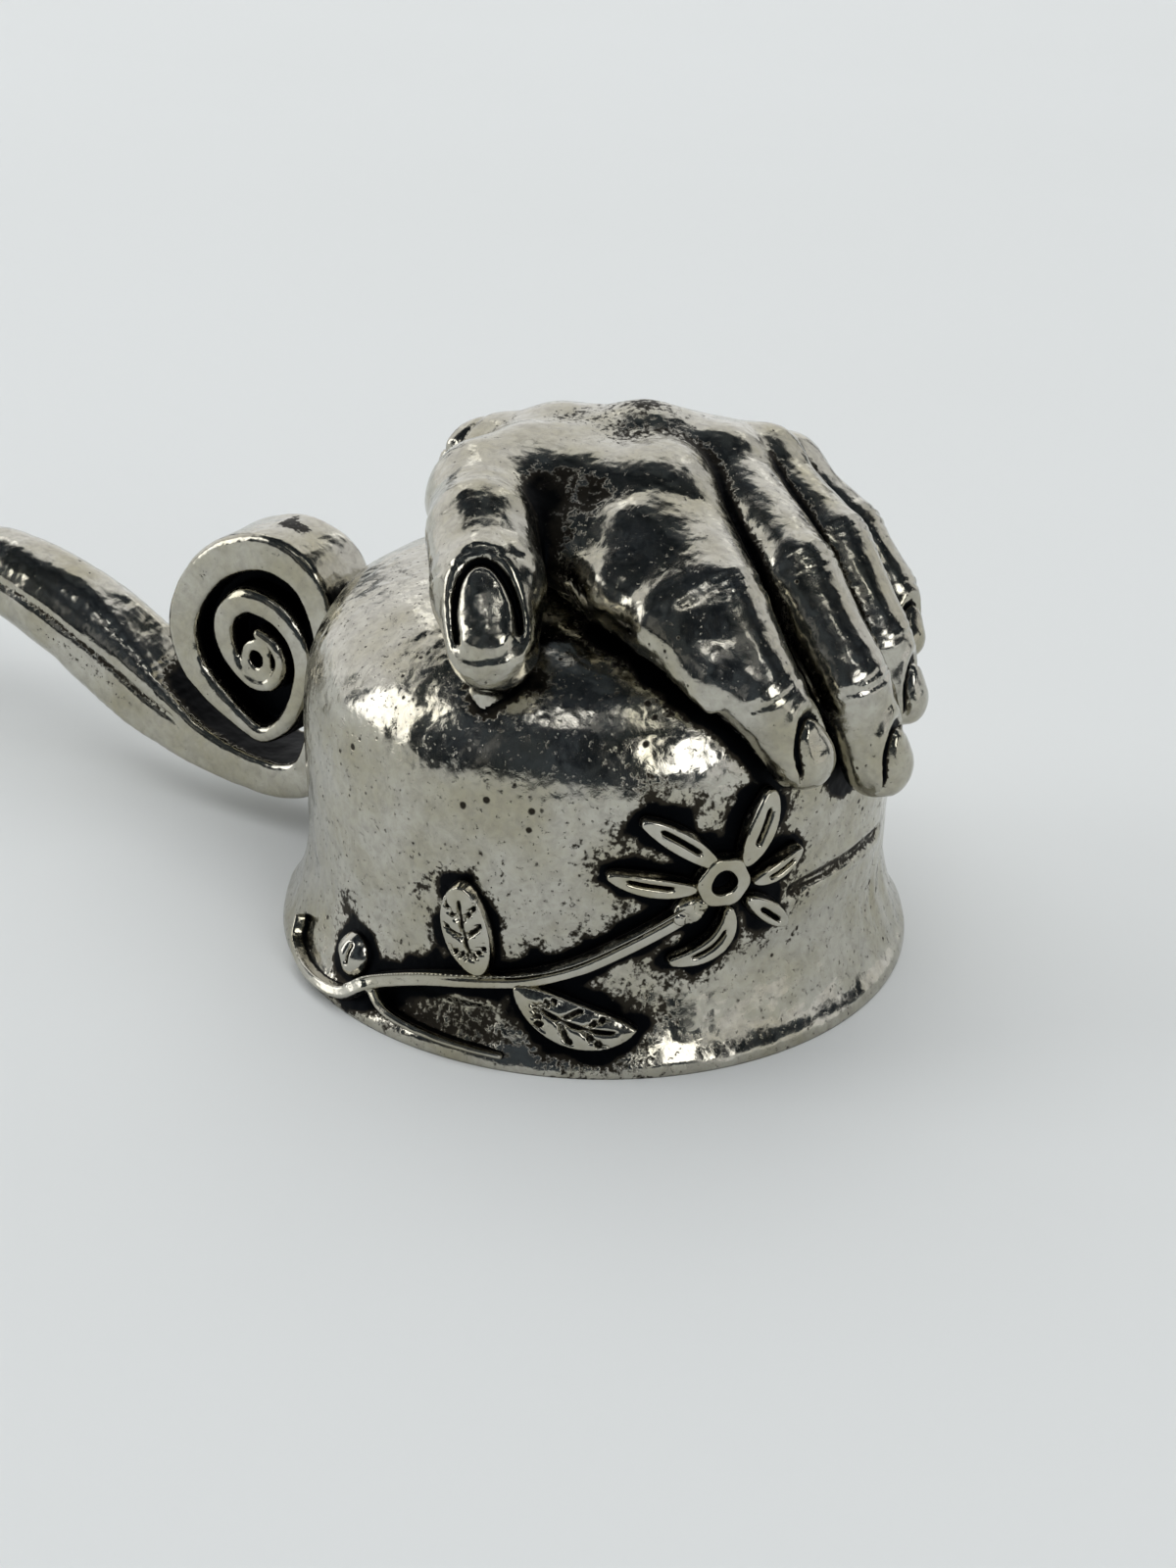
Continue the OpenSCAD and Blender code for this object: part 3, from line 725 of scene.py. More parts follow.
def reliefPiece(name, height, points, reach):
    step = flower["grid"]
    p = np.array(points, float)
    lo = np.append(p.min(0) - reach, flower["sunk"])
    axes = gridAxes(lo, np.append(p.max(0) + reach, flower["tallest"]), step)
    over = height(axes[0][:, :, 0], axes[1][:, :, 0])[:, :, None]
    field = np.maximum(axes[2] - np.clip(over, -0.6, 3), -0.3 - axes[2])
    lean = np.sqrt(1 + sum(np.clip(g, -5, 5) ** 2 for g in np.gradient(over[:, :, 0], step)))[:, :, None]
    solid = field / lean
    flat = []

    def bend(points):
        flat.append(points)
        return wallPoint(points[:, 0], points[:, 1], points[:, 2])
    walled = np.pad(solid, 1, constant_values=1.0)
    piece = carved("chased_" + name, walled, lo - step, step, chasedRelief, bend)
    foot = smooth((0.42 - flat[0][:, 2]) / 0.35)
    dips = ageHollows(flat[0], solid, lo, step, 0.15, 0.4, 1.6) - 0.1
    if piece.data.polygons and outwardVolume(piece) < 0:
        piece.data.flip_normals()
    paint(piece, "patinaAndShade", np.maximum(dips, 0.95 * foot))
    place(piece, "rattle_body", "polished_relief", name)
    return piece


def outwardVolume(piece):
    piece.data.calc_loop_triangles()
    tris = np.zeros(len(piece.data.loop_triangles) * 3, np.int64)
    piece.data.loop_triangles.foreach_get("vertices", tris)
    p = meshPoints(piece)[tris.reshape(-1, 3)]
    return float(np.sum(np.cross(p[:, 1] - p[:, 0], p[:, 2] - p[:, 0]) * p[:, 0]) / 6)


def nearSpray(s, z):
    # distance from every piece of the spray, along the wall
    inside = np.full(np.broadcast(s, z).shape, -99.0)
    f = flower
    for points in f["petals"]:
        path = bendRun(points[:3]) + np.array([0, f["z"]])
        inside = np.maximum(inside, ribbon(s, z, path, leafWidths(points[3], len(path), 1))[0])
    for part, w in f["widths"].items():
        path = bendRun(f[part])
        inside = np.maximum(inside, ribbon(s, z, path, leafWidths(w, len(path), 0.9))[0])
    stemPath = runThrough(f["stem"], 3)
    inside = np.maximum(inside, ribbon(s, z, stemPath, np.full(len(stemPath), f["stemW"]))[0])
    inside = np.maximum(inside, f["ringR"] - np.hypot(s - f["ring"][0], z - f["ring"][1]))
    inside = np.maximum(inside, f["budR"] - np.hypot(s - f["bud"][0], z - f["bud"][1]))
    return -inside


# The hand: knuckle centres over the crown with the radius at each, wrist to fingertips
hand = {
    "fingers": {
        "index": [((3.5, 1.1, 4.4), 3.0), ((11.4, -6.8, 1.9), 2.7), ((15.4, -8.8, -1.8), 2.4),
                  ((17.5, -8.2, -5.1), 1.95)],
        "middle": [((5.0, 5.2, 4.8), 2.9), ((13.4, -1.3, 2.2), 2.55), ((18.0, -3.3, -2.3), 2.3),
                   ((19.7, -2.5, -7.2), 2.05)],
        "ring": [((6.0, 8.1, 4.4), 2.7), ((13.1, 4.3, 2.2), 2.3), ((17.3, 1.7, -1.7), 2.1),
                 ((18.8, 1.9, -5.0), 1.75)],
        "little": [((6.4, 10.9, 3.6), 2.3), ((11.7, 10.1, 1.0), 2.0), ((14.9, 8.8, -1.6), 1.75),
                   ((16.3, 7.6, -3.8), 1.5)],
    },
    "thumb": [((-5.2, -4.5, 4.0), 3.4), ((-2.5, -9.5, 4.0), 3.2), ((0.1, -12.8, 2.4), 3.3),
              ((1.9, -15.1, 0.2), 2.6)],
    "palm": [((-10.1, 1.1, 3.1), 3.3), ((-7.7, 1.7, 3.5), 3.5), ((-4.6, 2.7, 4.0), 3.8),
             ((0.2, 4.3, 4.7), 3.7)],
    "web": [((-4.2, -1.2, 4.2), (4.0, -0.9, 4.1), 3.3, 3.3), ((-2.6, -3.6, 3.9), (3.4, -1.8, 4.0), 3.1, 3.1),
            ((0.2, -5.4, 3.0), (5.4, -4.6, 3.0), 2.3, 2.7), ((1.4, -6.2, 2.4), (5.6, -8.0, 1.9), 1.8, 1.8),
            ((5.6, -8.0, 1.9), (9.2, -9.2, 1.1), 1.8, 1.7), ((9.2, -9.2, 1.1), (12.8, -10.2, -0.8), 1.7, 1.5),
            ((5.4, -4.6, 3.0), (10.6, -7.6, 1.2), 2.7, 2.4)],
    "flash": [(2.0, -7.4, 1.0), (6.2, -9.3, 0.5), (10.0, -10.5, -0.2), (13.4, -11.2, -1.9)],
    "seat": (-0.7, 1.4, 4.0),
    "cuffX": -10.9,
    "studR": 0.95,
    "studTop": 2.05,
    "nail": [(1.05, -0.2), (1.12, 0.15)],  # size and shift of the thumb's nail, then of a finger's
    "nailRaise": 0.13,
    "creaseDepth": 0.14,
    "grid": 0.178,
    "lumps": 0.048,
    "seed": 5,
}


def fingertip(a, b, rb):
    # the last joint's own axes: along it, out over the nail, and across
    along = unit(np.array(b) - np.array(a))
    out = np.array(b) - np.array([0, 0, -9.0])
    out = unit(out - along * (out @ along))
    return along, out, np.cross(along, out)


def nailPlace(axes, a, b, rb, size, back):
    # how far from the nail's middle, 1 at its outline, and whether it is on the outer side
    along, out, across = fingertip(a, b, rb)
    rel = [axes[i] - b[i] for i in range(3)]
    u = sum(rel[i] * along[i] for i in range(3)) / rb - back
    v = sum(rel[i] * across[i] for i in range(3)) / rb
    w = sum(rel[i] * out[i] for i in range(3)) / rb
    # a rounded shield: wide arch at the root, nearly straight at the free edge
    away = np.sqrt((v / (0.56 * size)) ** 2 + (np.minimum(u, 0) / (1.0 * size)) ** 2
                   + (np.maximum(u, 0) / (0.8 * size)) ** 4)
    return away, smooth((w - 0.05) / 0.3), u


def nailRelief(axes, a, b, rb, size, back):
    # a nail plate with a groove round its root, and a rim of skin past that
    away, on, u = nailPlace(axes, a, b, rb, size, back)
    plate = hand["nailRaise"] * smooth((1 - away) / 0.12)
    arch = -0.4 * peak(away - 1.12, 0.11) * rb / 2.2 * smooth((0.6 - u) / 0.4)
    rim = 0.14 * peak(away - 1.5, 0.18)
    return on * (plate + arch + rim)


def crease(axes, at, towards, out, depth, width=0.16, bow=0.0):
    # a fold of skin across a joint, on the side that out points to
    along = unit(np.array(towards) - np.array(at))
    out = unit(np.array(out) - along * (np.array(out) @ along))
    side = np.cross(along, out)
    rel = [axes[i] - at[i] for i in range(3)]
    u = sum(rel[i] * along[i] for i in range(3))
    v = sum(rel[i] * side[i] for i in range(3))
    w = sum(rel[i] * out[i] for i in range(3))
    near = np.exp(-(u ** 2 + v ** 2 + w ** 2) / 16)
    return -depth * peak(u + bow * v * v, width) * smooth((w - 0.3) / 1.2) * smooth(near * 3)


def handSolid(axes):
    top = bell["crownZ"]

    def lift(p):
        return (p[0], p[1], p[2] + top)
    palm = hand["palm"]
    back = capsule(axes, lift(palm[0][0]), lift(palm[1][0]), palm[0][1], palm[1][1])
    for (p, r), (q, s) in zip(palm[1:], palm[2:]):
        back = blendMin(back, capsule(axes, lift(p), lift(q), r, s), 0.8)
    # the heel of the palm stands on the crown
    seat = hand["seat"]
    spread = np.maximum(np.hypot(axes[0] - seat[0], axes[1] - seat[1]) - seat[2]
                        + 0.16 * np.clip(axes[2] - top, 0, 5), axes[2] - top - 4.2)
    back = blendMin(back, spread, 0.7)
    digits = []
    for name, joints in list(hand["fingers"].items()) + [("thumb", hand["thumb"])]:
        first = joints[0]
        for p, r in palm[2:]:
            back = blendMin(back, capsule(axes, lift(p), lift(first[0]), r * 0.93, first[1]), 0.9)
        digit = None
        for (p, r), (q, s) in zip(joints, joints[1:]):
            bar = capsule(axes, lift(p), lift(q), r * 0.985, s * 0.985)
            # the bone between two joints is a little slimmer than they are
            mid = [axes[i] - (lift(p)[i] + lift(q)[i]) / 2 for i in range(3)]
            waist = 0.17 * np.exp(-sum(m ** 2 for m in mid) / 5.0)
            digit = bar + waist if digit is None else blendMin(digit, bar + waist, 0.35)
        a, b, rb = lift(joints[2][0]), lift(joints[3][0]), joints[3][1]
        digit = digit - nailRelief(axes, a, b, rb, *hand["nail"][name != "thumb"])
        out = np.array(a) - np.array([0, 0, top - 9.0])
        depth = hand["creaseDepth"]
        digit = digit - crease(axes, a, b, out, depth, 0.15, 0.05)
        before = np.array(a) + 0.55 * unit(np.array(a) - b)
        digit = digit - crease(axes, before, b, out, depth * 0.6, 0.13, -0.05)
        if name != "thumb":
            m, n = lift(joints[1][0]), lift(joints[2][0])
            out2 = np.array(m) - np.array([0, 0, top - 9.0])
            for shift, share in ((-0.55, 0.7), (0.0, 1.0), (0.6, 0.7)):
                at = np.array(m) + shift * unit(np.array(n) - m)
                digit = digit - crease(axes, at, n, out2, depth * share, 0.15, 0.06 * np.sign(shift))
        digits.append(digit)
    fingers = digits[0]
    for digit in digits[1:4]:
        fingers = blendMin(fingers, digit, 0.14)
    whole = blendMin(back, fingers, 0.85)
    whole = blendMin(whole, digits[4], 1.1)
    # a skin of web between the thumb and the index, and the drip that holds the thumb's tip
    for p, q, r, t in hand["web"]:
        whole = blendMin(whole, capsule(axes, lift(p), lift(q), r, t), 1.5)
    x, y, _ = hand["thumb"][3][0]
    drip = capsule(axes, lift((x - 0.6, y + 0.8, -1.0)), lift((x - 0.3, y + 0.3, -3.4)), 1.5, 1.15)
    whole = blendMin(whole, drip, 0.5)
    # a flash along the index's lower side, left by the mould
    flash = runThrough(hand["flash"], 3)
    for p, q in zip(flash, flash[1:]):
        whole = blendMin(whole, capsule(axes, lift(p), lift(q), 0.5, 0.5), 0.35)
    return whole


def makeHand():
    step = hand["grid"]
    lo, hi = boxOf("hand")
    lo, hi = lo - 3 * step, hi + 3 * step
    axes = gridAxes(lo, hi, step)
    solid = handSolid(axes).astype(np.float32)
    # the wrist ends in a rounded stub with a second edge behind it
    cut = hand["cuffX"] - axes[0]
    solid = -blendMin(-solid, -cut, 0.5)
    ring = 0.2 * peak(axes[0] - hand["cuffX"] - 1.25, 0.16)
    nick = 0.5 * peak(axes[1] + 1.0, 0.14) * smooth((hand["cuffX"] + 1.1 - axes[0]) / 0.3)
    solid = solid + ring + nick * smooth((axes[2] - bell["crownZ"] - 1.5) / 1.5)
    x, y, z = np.broadcast_arrays(*axes)
    standing = bellDistance(np.stack([x, y, z], -1).reshape(-1, 3)).reshape(solid.shape).astype(np.float32)
    solid = np.maximum(solid, -0.08 - standing)
    bore = np.maximum(np.hypot(axes[0], axes[1]) - hand["studR"], axes[2] - bell["crownZ"] - hand["studTop"])
    solid = np.maximum(solid, -bore)
    piece = carved("cast_hand", solid, lo, step, castHand)
    points, normals = meshPoints(piece), meshNormals(piece)
    patinaAndShadeLevel = ageHollows(points, solid, lo, step)
    # patina with painted shade low down, where the hand meets the dome, and painted shade on the undersides
    # of the fingers, which face away from the light
    rise = sampled(standing, lo, step, points)
    patinaAndShadeLevel += 0.8 * smooth((0.55 - rise) / 0.6) + 0.5 * smooth((-normals[:, 2] - 0.15) / 0.5)
    patchy = latticeNoise(points, 1.1, hand["seed"] + 2)
    web = np.linalg.norm(points - np.array([0.4, -5.4, bell["crownZ"] + 5.0]), axis=1)
    patinaAndShadeLevel += (0.3 + 0.3 * patchy) * smooth((4.0 - web) / 2.2)
    for name, joints in list(hand["fingers"].items()) + [("thumb", hand["thumb"])]:
        a, b = (np.array(joints[k][0]) + np.array([0, 0, bell["crownZ"]]) for k in (2, 3))
        size, back = hand["nail"][name != "thumb"]
        away, on, u = nailPlace(points.T, a, b, joints[3][1], size, back)
        patinaAndShadeLevel += 0.8 * on * peak(away - 1.12, 0.1) * smooth((0.45 - u) / 0.4)
    paint(piece, "patinaAndShade", patinaAndShadeLevel)
    hand["solid"] = (solid, lo, step)
    lumps = latticeNoise(points, 2.4, hand["seed"]) + 0.5 * latticeNoise(points, 1.0, hand["seed"] + 1)
    movePoints(piece, points + normals * (hand["lumps"] * lumps * smooth((rise - 0.3) / 0.8))[:, None])
    place(piece, "rattle_body", "polished_hand", "hand")
    return piece


# The handle: a strip coiled into a scroll, which runs into a rod with a small scroll at its end
handle = {
    "strip": [(5.5, 0, 0.95), (5, 3.9, 1.1), (3.5, 6.2, 1.3), (0.6, 7, 1.35), (-2.8, 5.9, 1.3),
              (-5.4, 3.3, 1.25), (-6.5, 0.2, 1.2), (-5.6, -2.7, 1.05), (-3, -4.8, 0.8), (-0.2, -6.1, 0.65),
              (2.1, -4.4, 0.65), (3.4, -1.4, 0.75), (3.2, 1.1, 0.85), (1.5, 2.9, 0.9), (-1.1, 3.4, 0.9),
              (-2.9, 1.7, 0.85), (-2.6, -0.6, 0.75), (-1, -2.3, 0.55), (0.7, -2.2, 0.5), (1.7, -0.7, 0.5),
              (1.2, 0.6, 0.5), (-0.1, 1.2, 0.45)],
    "scrollX": -24.48,
    "scrollZ": 13.0,
    "halfWide": 2.9,
    "footZ": 3.75,
    "rod": [(-30, 4.55, 1.6, 2.9), (-34.5, 6.25, 2.4, 2.9), (-38.5, 8.45, 3.1, 3.1), (-43, 10.7, 3.3, 3.3),
            (-50, 12.5, 2.8, 2.9), (-56, 11.3, 2.5, 2.6), (-62, 8.1, 2.1, 2.4), (-67, 4.7, 1.8, 2.4),
            (-71, 2.1, 1.5, 2.4)],
    "tail": (-74.0, 6.5, 5.0, 2.9, 1.15),  # middle x and z, radius, pitch and turns
    "web": 0.9,
    "foldX": (-62, -30),
    "foldDepth": 0.2,
    "coilR": 7.2,
    "stripEdge": 0.6,  # how far the scroll's edges are rounded, in front and behind
    "backEdge": 1.2,
    "grid": 0.18,
    "lumps": 0.072,
    "seed": 23,
}


def handleStations():
    # every station is x, z, half thickness, half width and how square its edges are
    h = handle
    coil = [(h["scrollX"] + x, h["scrollZ"] + z, t, h["halfWide"]) for x, z, t in h["strip"]][::-1]
    foot = [(h["scrollX"] + 4.9, (h["scrollZ"] + h["footZ"]) / 2, 1.1, h["halfWide"]),
            (h["scrollX"] + 3.4, h["footZ"] + 1, 1.3, h["halfWide"]),
            (h["scrollX"], h["footZ"], 1.3, h["halfWide"])]
    x, z, r, pitch, turns = h["tail"]
    tail = []
    for turn in np.linspace(0, turns, 19):
        a = -math.pi / 2 - 2 * math.pi * turn
        tail.append((x + (r - pitch * turn) * math.cos(a), z + (r - pitch * turn) * math.sin(a),
                     mix(1.5, 0.95, turn / turns), 2.4))
    line = np.vstack([runThrough(coil + foot + h["rod"] + tail[:1], 6), tail[1:]])
    square = np.interp(line[:, 0], [-66, -60, -42, -36], [0.5, 0.9, 0.9, 0.35])
    return np.column_stack([line, square]), len(coil) * 6


def insidePolygon(x, z, corners):
    inside = np.zeros(np.broadcast(x, z).shape, bool)
    for (ax, az), (bx, bz) in zip(corners, np.roll(corners, -1, axis=0)):
        crosses = (az > z) != (bz > z)
        at = ax + (z - az) * (bx - ax) / (bz - az if bz != az else 1e-9)
        inside ^= crosses & (x < at)
    return inside


def makeHandle():
    step = handle["grid"]
    lo, hi = boxOf("scroll_handle")
    lo, hi = lo - 3 * step, hi + 3 * step
    axes = gridAxes(lo, hi, step)
    x, z = axes[0][:, 0, :].astype(float), axes[2][0, 0, :][None, :].astype(float)
    stations, coilEnd = handleStations()
    best = np.full((x.shape[0], z.shape[1]), 99.0)
    width, thick, square, along, side = (np.zeros_like(best) for _ in range(5))
    for i in range(len(stations) - 1):
        p, q = stations[i], stations[i + 1]
        dx, dz = q[0] - p[0], q[1] - p[1]
        t = np.clip(((x - p[0]) * dx + (z - p[1]) * dz) / max(dx * dx + dz * dz, 1e-9), 0, 1)
        ex, ez = x - p[0] - t * dx, z - p[1] - t * dz
        m = np.hypot(ex, ez) - mix(p[2], q[2], t)
        take = m < best
        best = np.where(take, m, best)
        width = np.where(take, mix(p[3], q[3], t), width)
        thick = np.where(take, mix(p[2], q[2], t), thick)
        square = np.where(take, mix(p[4], q[4], t), square)
        along = np.where(take, i + t, along)
        side = np.where(take, (dx * ez - dz * ex) / max(math.hypot(dx, dz), 1e-9), side)
    best, width, thick, square, along, side = (
        g[:, None, :] for g in (best, width, thick, square, along, side))
    y = np.abs(axes[1])
    # the scroll's edges are crisp in front and rounder behind, and the rod's section is squarish
    inCoil = along < coilEnd
    over = y - width
    h = handle
    coilEdge = np.where(axes[1] > 0, h["backEdge"], h["stripEdge"])
    edge = np.where(inCoil, coilEdge, square * np.minimum(width, thick))
    a, b = best + edge, over + edge
    solid = np.hypot(np.maximum(a, 0), np.maximum(b, 0)) + np.minimum(np.maximum(a, b), 0) - edge
    # a fold runs down the rod's lower front side
    first, last = h["foldX"]
    fold = peak(side + 0.9, 0.3) * smooth((last - axes[0]) / 3) * smooth((axes[0] - first) / 5)
    solid = solid + h["foldDepth"] * fold * smooth((-axes[1] - 0.6) / 0.6) * smooth((over + 2.2) / 1.2)
    # the strip's inner end closes on itself round a small hole
    away = np.hypot(x - h["scrollX"] + 0.3, (z - h["scrollZ"] + 0.6) * 0.9)[:, None, :]
    eye = np.maximum(np.maximum(away - 1.25, 0.5 - away), y - h["halfWide"] + 0.15)
    solid = blendMin(solid, eye, 0.25)
    # a thin web closes the scroll behind the grooves
    corners = np.array([(h["scrollX"] + px, h["scrollZ"] + pz) for px, pz, _ in h["strip"][1:12]] +
                       [(h["scrollX"], h["scrollZ"])])
    inside = insidePolygon(x, z, corners)[:, None, :]
    web = np.maximum(np.where(inside, -0.5, np.maximum(best, 0.2)), y - h["web"])
    solid = np.minimum(solid, web).astype(np.float32)
    gx, gy, gz = np.broadcast_arrays(*axes)
    standing = bellDistance(np.stack([gx, gy, gz], -1).reshape(-1, 3)).reshape(solid.shape).astype(np.float32)
    solid = np.maximum(solid, -0.08 - standing)
    piece = carved("cast_handle", solid, lo, step, castHandle)
    points, normals = meshPoints(piece), meshNormals(piece)
    patinaAndShadeLevel = ageHollows(points, solid, lo, step, 0.45, 1.2, 1.1)
    # patina with painted shade where the handle meets the bell
    patinaAndShadeLevel += 0.8 * smooth((0.5 - sampled(standing, lo, step, points)) / 0.6)
    sunk = np.abs(points[:, 1]) < h["web"] + 0.3
    coil = np.hypot(points[:, 0] - h["scrollX"], points[:, 2] - h["scrollZ"]) < h["coilR"]
    patinaAndShadeLevel = np.where(sunk & coil & (patinaAndShadeLevel > -0.1), np.maximum(patinaAndShadeLevel, 0.9), patinaAndShadeLevel)
    # painted shade: black where other metal stands close in front of the surface, as in the valley between
    # the scroll and the rod
    patchy = latticeNoise(points, 1.6, h["seed"] + 2)
    ahead = points + 2.4 * normals
    inGrid = np.all((ahead > lo) & (ahead < hi), axis=1)
    patinaAndShadeLevel += 0.8 * inGrid * smooth((1.5 + 0.4 * patchy - sampled(solid, lo, step, ahead)) / 1.1)
    # painted reflection: dark streaks over the scroll's top stand in for the dark room that it mirrors
    over = smooth((points[:, 2] - h["scrollZ"] - 3.6) / 1.2) * smooth((points[:, 0] + 31) / 2)
    patinaAndShadeLevel += 0.5 * over * smooth((patchy - 0.2) / 0.4)
    paint(piece, "patinaAndShade", patinaAndShadeLevel)
    lumps = latticeNoise(points, 3.2, handle["seed"]) + 0.5 * latticeNoise(points, 1.3, handle["seed"] + 1)
    level = smooth((points[:, 2] - lo[2] - 3.4 * step) / 0.8)
    movePoints(piece, points + normals * (handle["lumps"] * lumps * level)[:, None])
    place(piece, "rattle_body", "cast_pewter", "scroll_handle")
    return piece


def makeBell():
    b = bell
    outer = wallOutline(0, 0, 188)[::-1]
    inner = wallOutline(b["wall"], b["lip"], 52)
    outline = np.vstack([outer, inner])
    # the rim swells into a thin uneven band
    bead = b["bead"] * peak(outline[:, 1] - 0.75, 0.42) * (outline[:, 0] > bellRadius(outline[:, 1]) - 0.1)
    outline[:, 0] += bead - b["bead"] * peak(outline[:, 1], 0.14)
    piece = turnedPiece("cast_bell", outline, castWall, b["stepsRound"], b["wobble"],
                        b["wobbleSize"], b["seed"], 0.2)
    points, normals = meshPoints(piece), meshNormals(piece)
    z = points[:, 2]
    outside = smooth((bellDistance(points) + 0.7) / 0.4)
    azimuth = np.arctan2(points[:, 1], points[:, 0]) - flower["azimuth"]
    s = ((azimuth + math.pi) % (2 * math.pi) - math.pi) * b["bodyR"]
    near = nearSpray(s, z)
    # hammer dents, drips that ran down the skirt, and a fold where the wall creased in the mould
    broad, fine = b["hammer"]
    dents = broad * latticeNoise(points, 2.6, b["seed"]) + fine * latticeNoise(points, 1.1, b["seed"] + 1)
    drips = latticeNoise(np.stack([s, z * 0.16, 0 * s], -1), 0.8, b["seed"] + 2)
    dents += b["drips"] * drips * smooth((7.5 - z) / 2) * smooth((z - 1.2) / 1.0) * smooth((s + 7) / 2)
    path = bendRun(b["crack"])
    folded = -ribbon(s, z, path, np.full(len(path), 0.2))[0]
    dents += b["crackDepth"] * (0.5 * peak(folded - 0.5, 0.3) - peak(folded, 0.2)) * outside
    # the wall is pressed in between the stem and the rim
    between = smooth((-s - 12.0) / 1.5) * smooth((s + 21) / 1.5)
    between = between * smooth((3.6 - z) / 0.8) * smooth((z - 0.9) / 0.5)
    dents -= b["pressedIn"] * between
    keep = smooth((z - 0.1) / 0.8) * outside
    movePoints(piece, points + normals * (dents * keep)[:, None])
    # patina and painted shade: a patina halo round the spray, patina with painted shade at the join with the
    # hand and handle, and patina over all of the inside
    patchy = latticeNoise(points, 1.5, b["seed"] + 4) + 0.5 * latticeNoise(points, 0.6, b["seed"] + 5)
    halo = 0.95 * smooth((1.0 + 0.4 * patchy - near) / 0.85) + 0.36 * smooth((3.2 + patchy - near) / 3.0)
    patinaAndShade = halo + 0.1 * patchy - 0.1
    footing = np.hypot(points[:, 0] - hand["seat"][0], points[:, 1] - hand["seat"][1])
    patinaAndShade = np.maximum(patinaAndShade, 0.9 * smooth((5.6 + 0.6 * patchy - footing) / 1.4) * (z > b["crownZ"] - 3))
    # painted shade: the crown is painted black under the fingers, where their shadow falls
    under = sampled(*hand["solid"][:2], hand["solid"][2], points)
    reach = mix(0.45, 1.5, smooth((points[:, 0] - 1.5) / 4.0)) + 0.3 * patchy
    patinaAndShade = np.maximum(patinaAndShade, smooth((reach - under) / 0.9) * (z > b["shadeAbove"]))
    joinS = np.abs(np.abs(np.arctan2(points[:, 1], points[:, 0])) - math.pi) * b["bodyR"]
    low, high = b["joinZ"]
    patinaAndShade = np.maximum(patinaAndShade, 0.9 * smooth((3.9 + 0.6 * patchy - joinS) / 1.4) * (z < high) * (z > low))
    patinaAndShade = np.maximum(patinaAndShade, (0.34 + 0.12 * patchy) * between)
    patinaAndShade = np.maximum(patinaAndShade, 0.6 * peak(folded, 0.16))
    patinaAndShade = mix(0.26 + 0.16 * patchy, patinaAndShade, outside)
    paint(piece, "patinaAndShade", patinaAndShade)
    place(piece, "rattle_body", "cast_pewter", "bell_shell")
    return piece


# The clapper and what it hangs on
clapper = {
    "ballR": 4.2,
    "ballZ": 5.8,
    "shankR": 0.6,
    "wireR": 0.45,
    "eyeR": 1.3,
    "linkR": 2.0,
    "studR": 0.9,
    "washerR": 2.6,
    "washerT": 0.6,
    "gap": 0.06,
    "grip": 2.0,
}


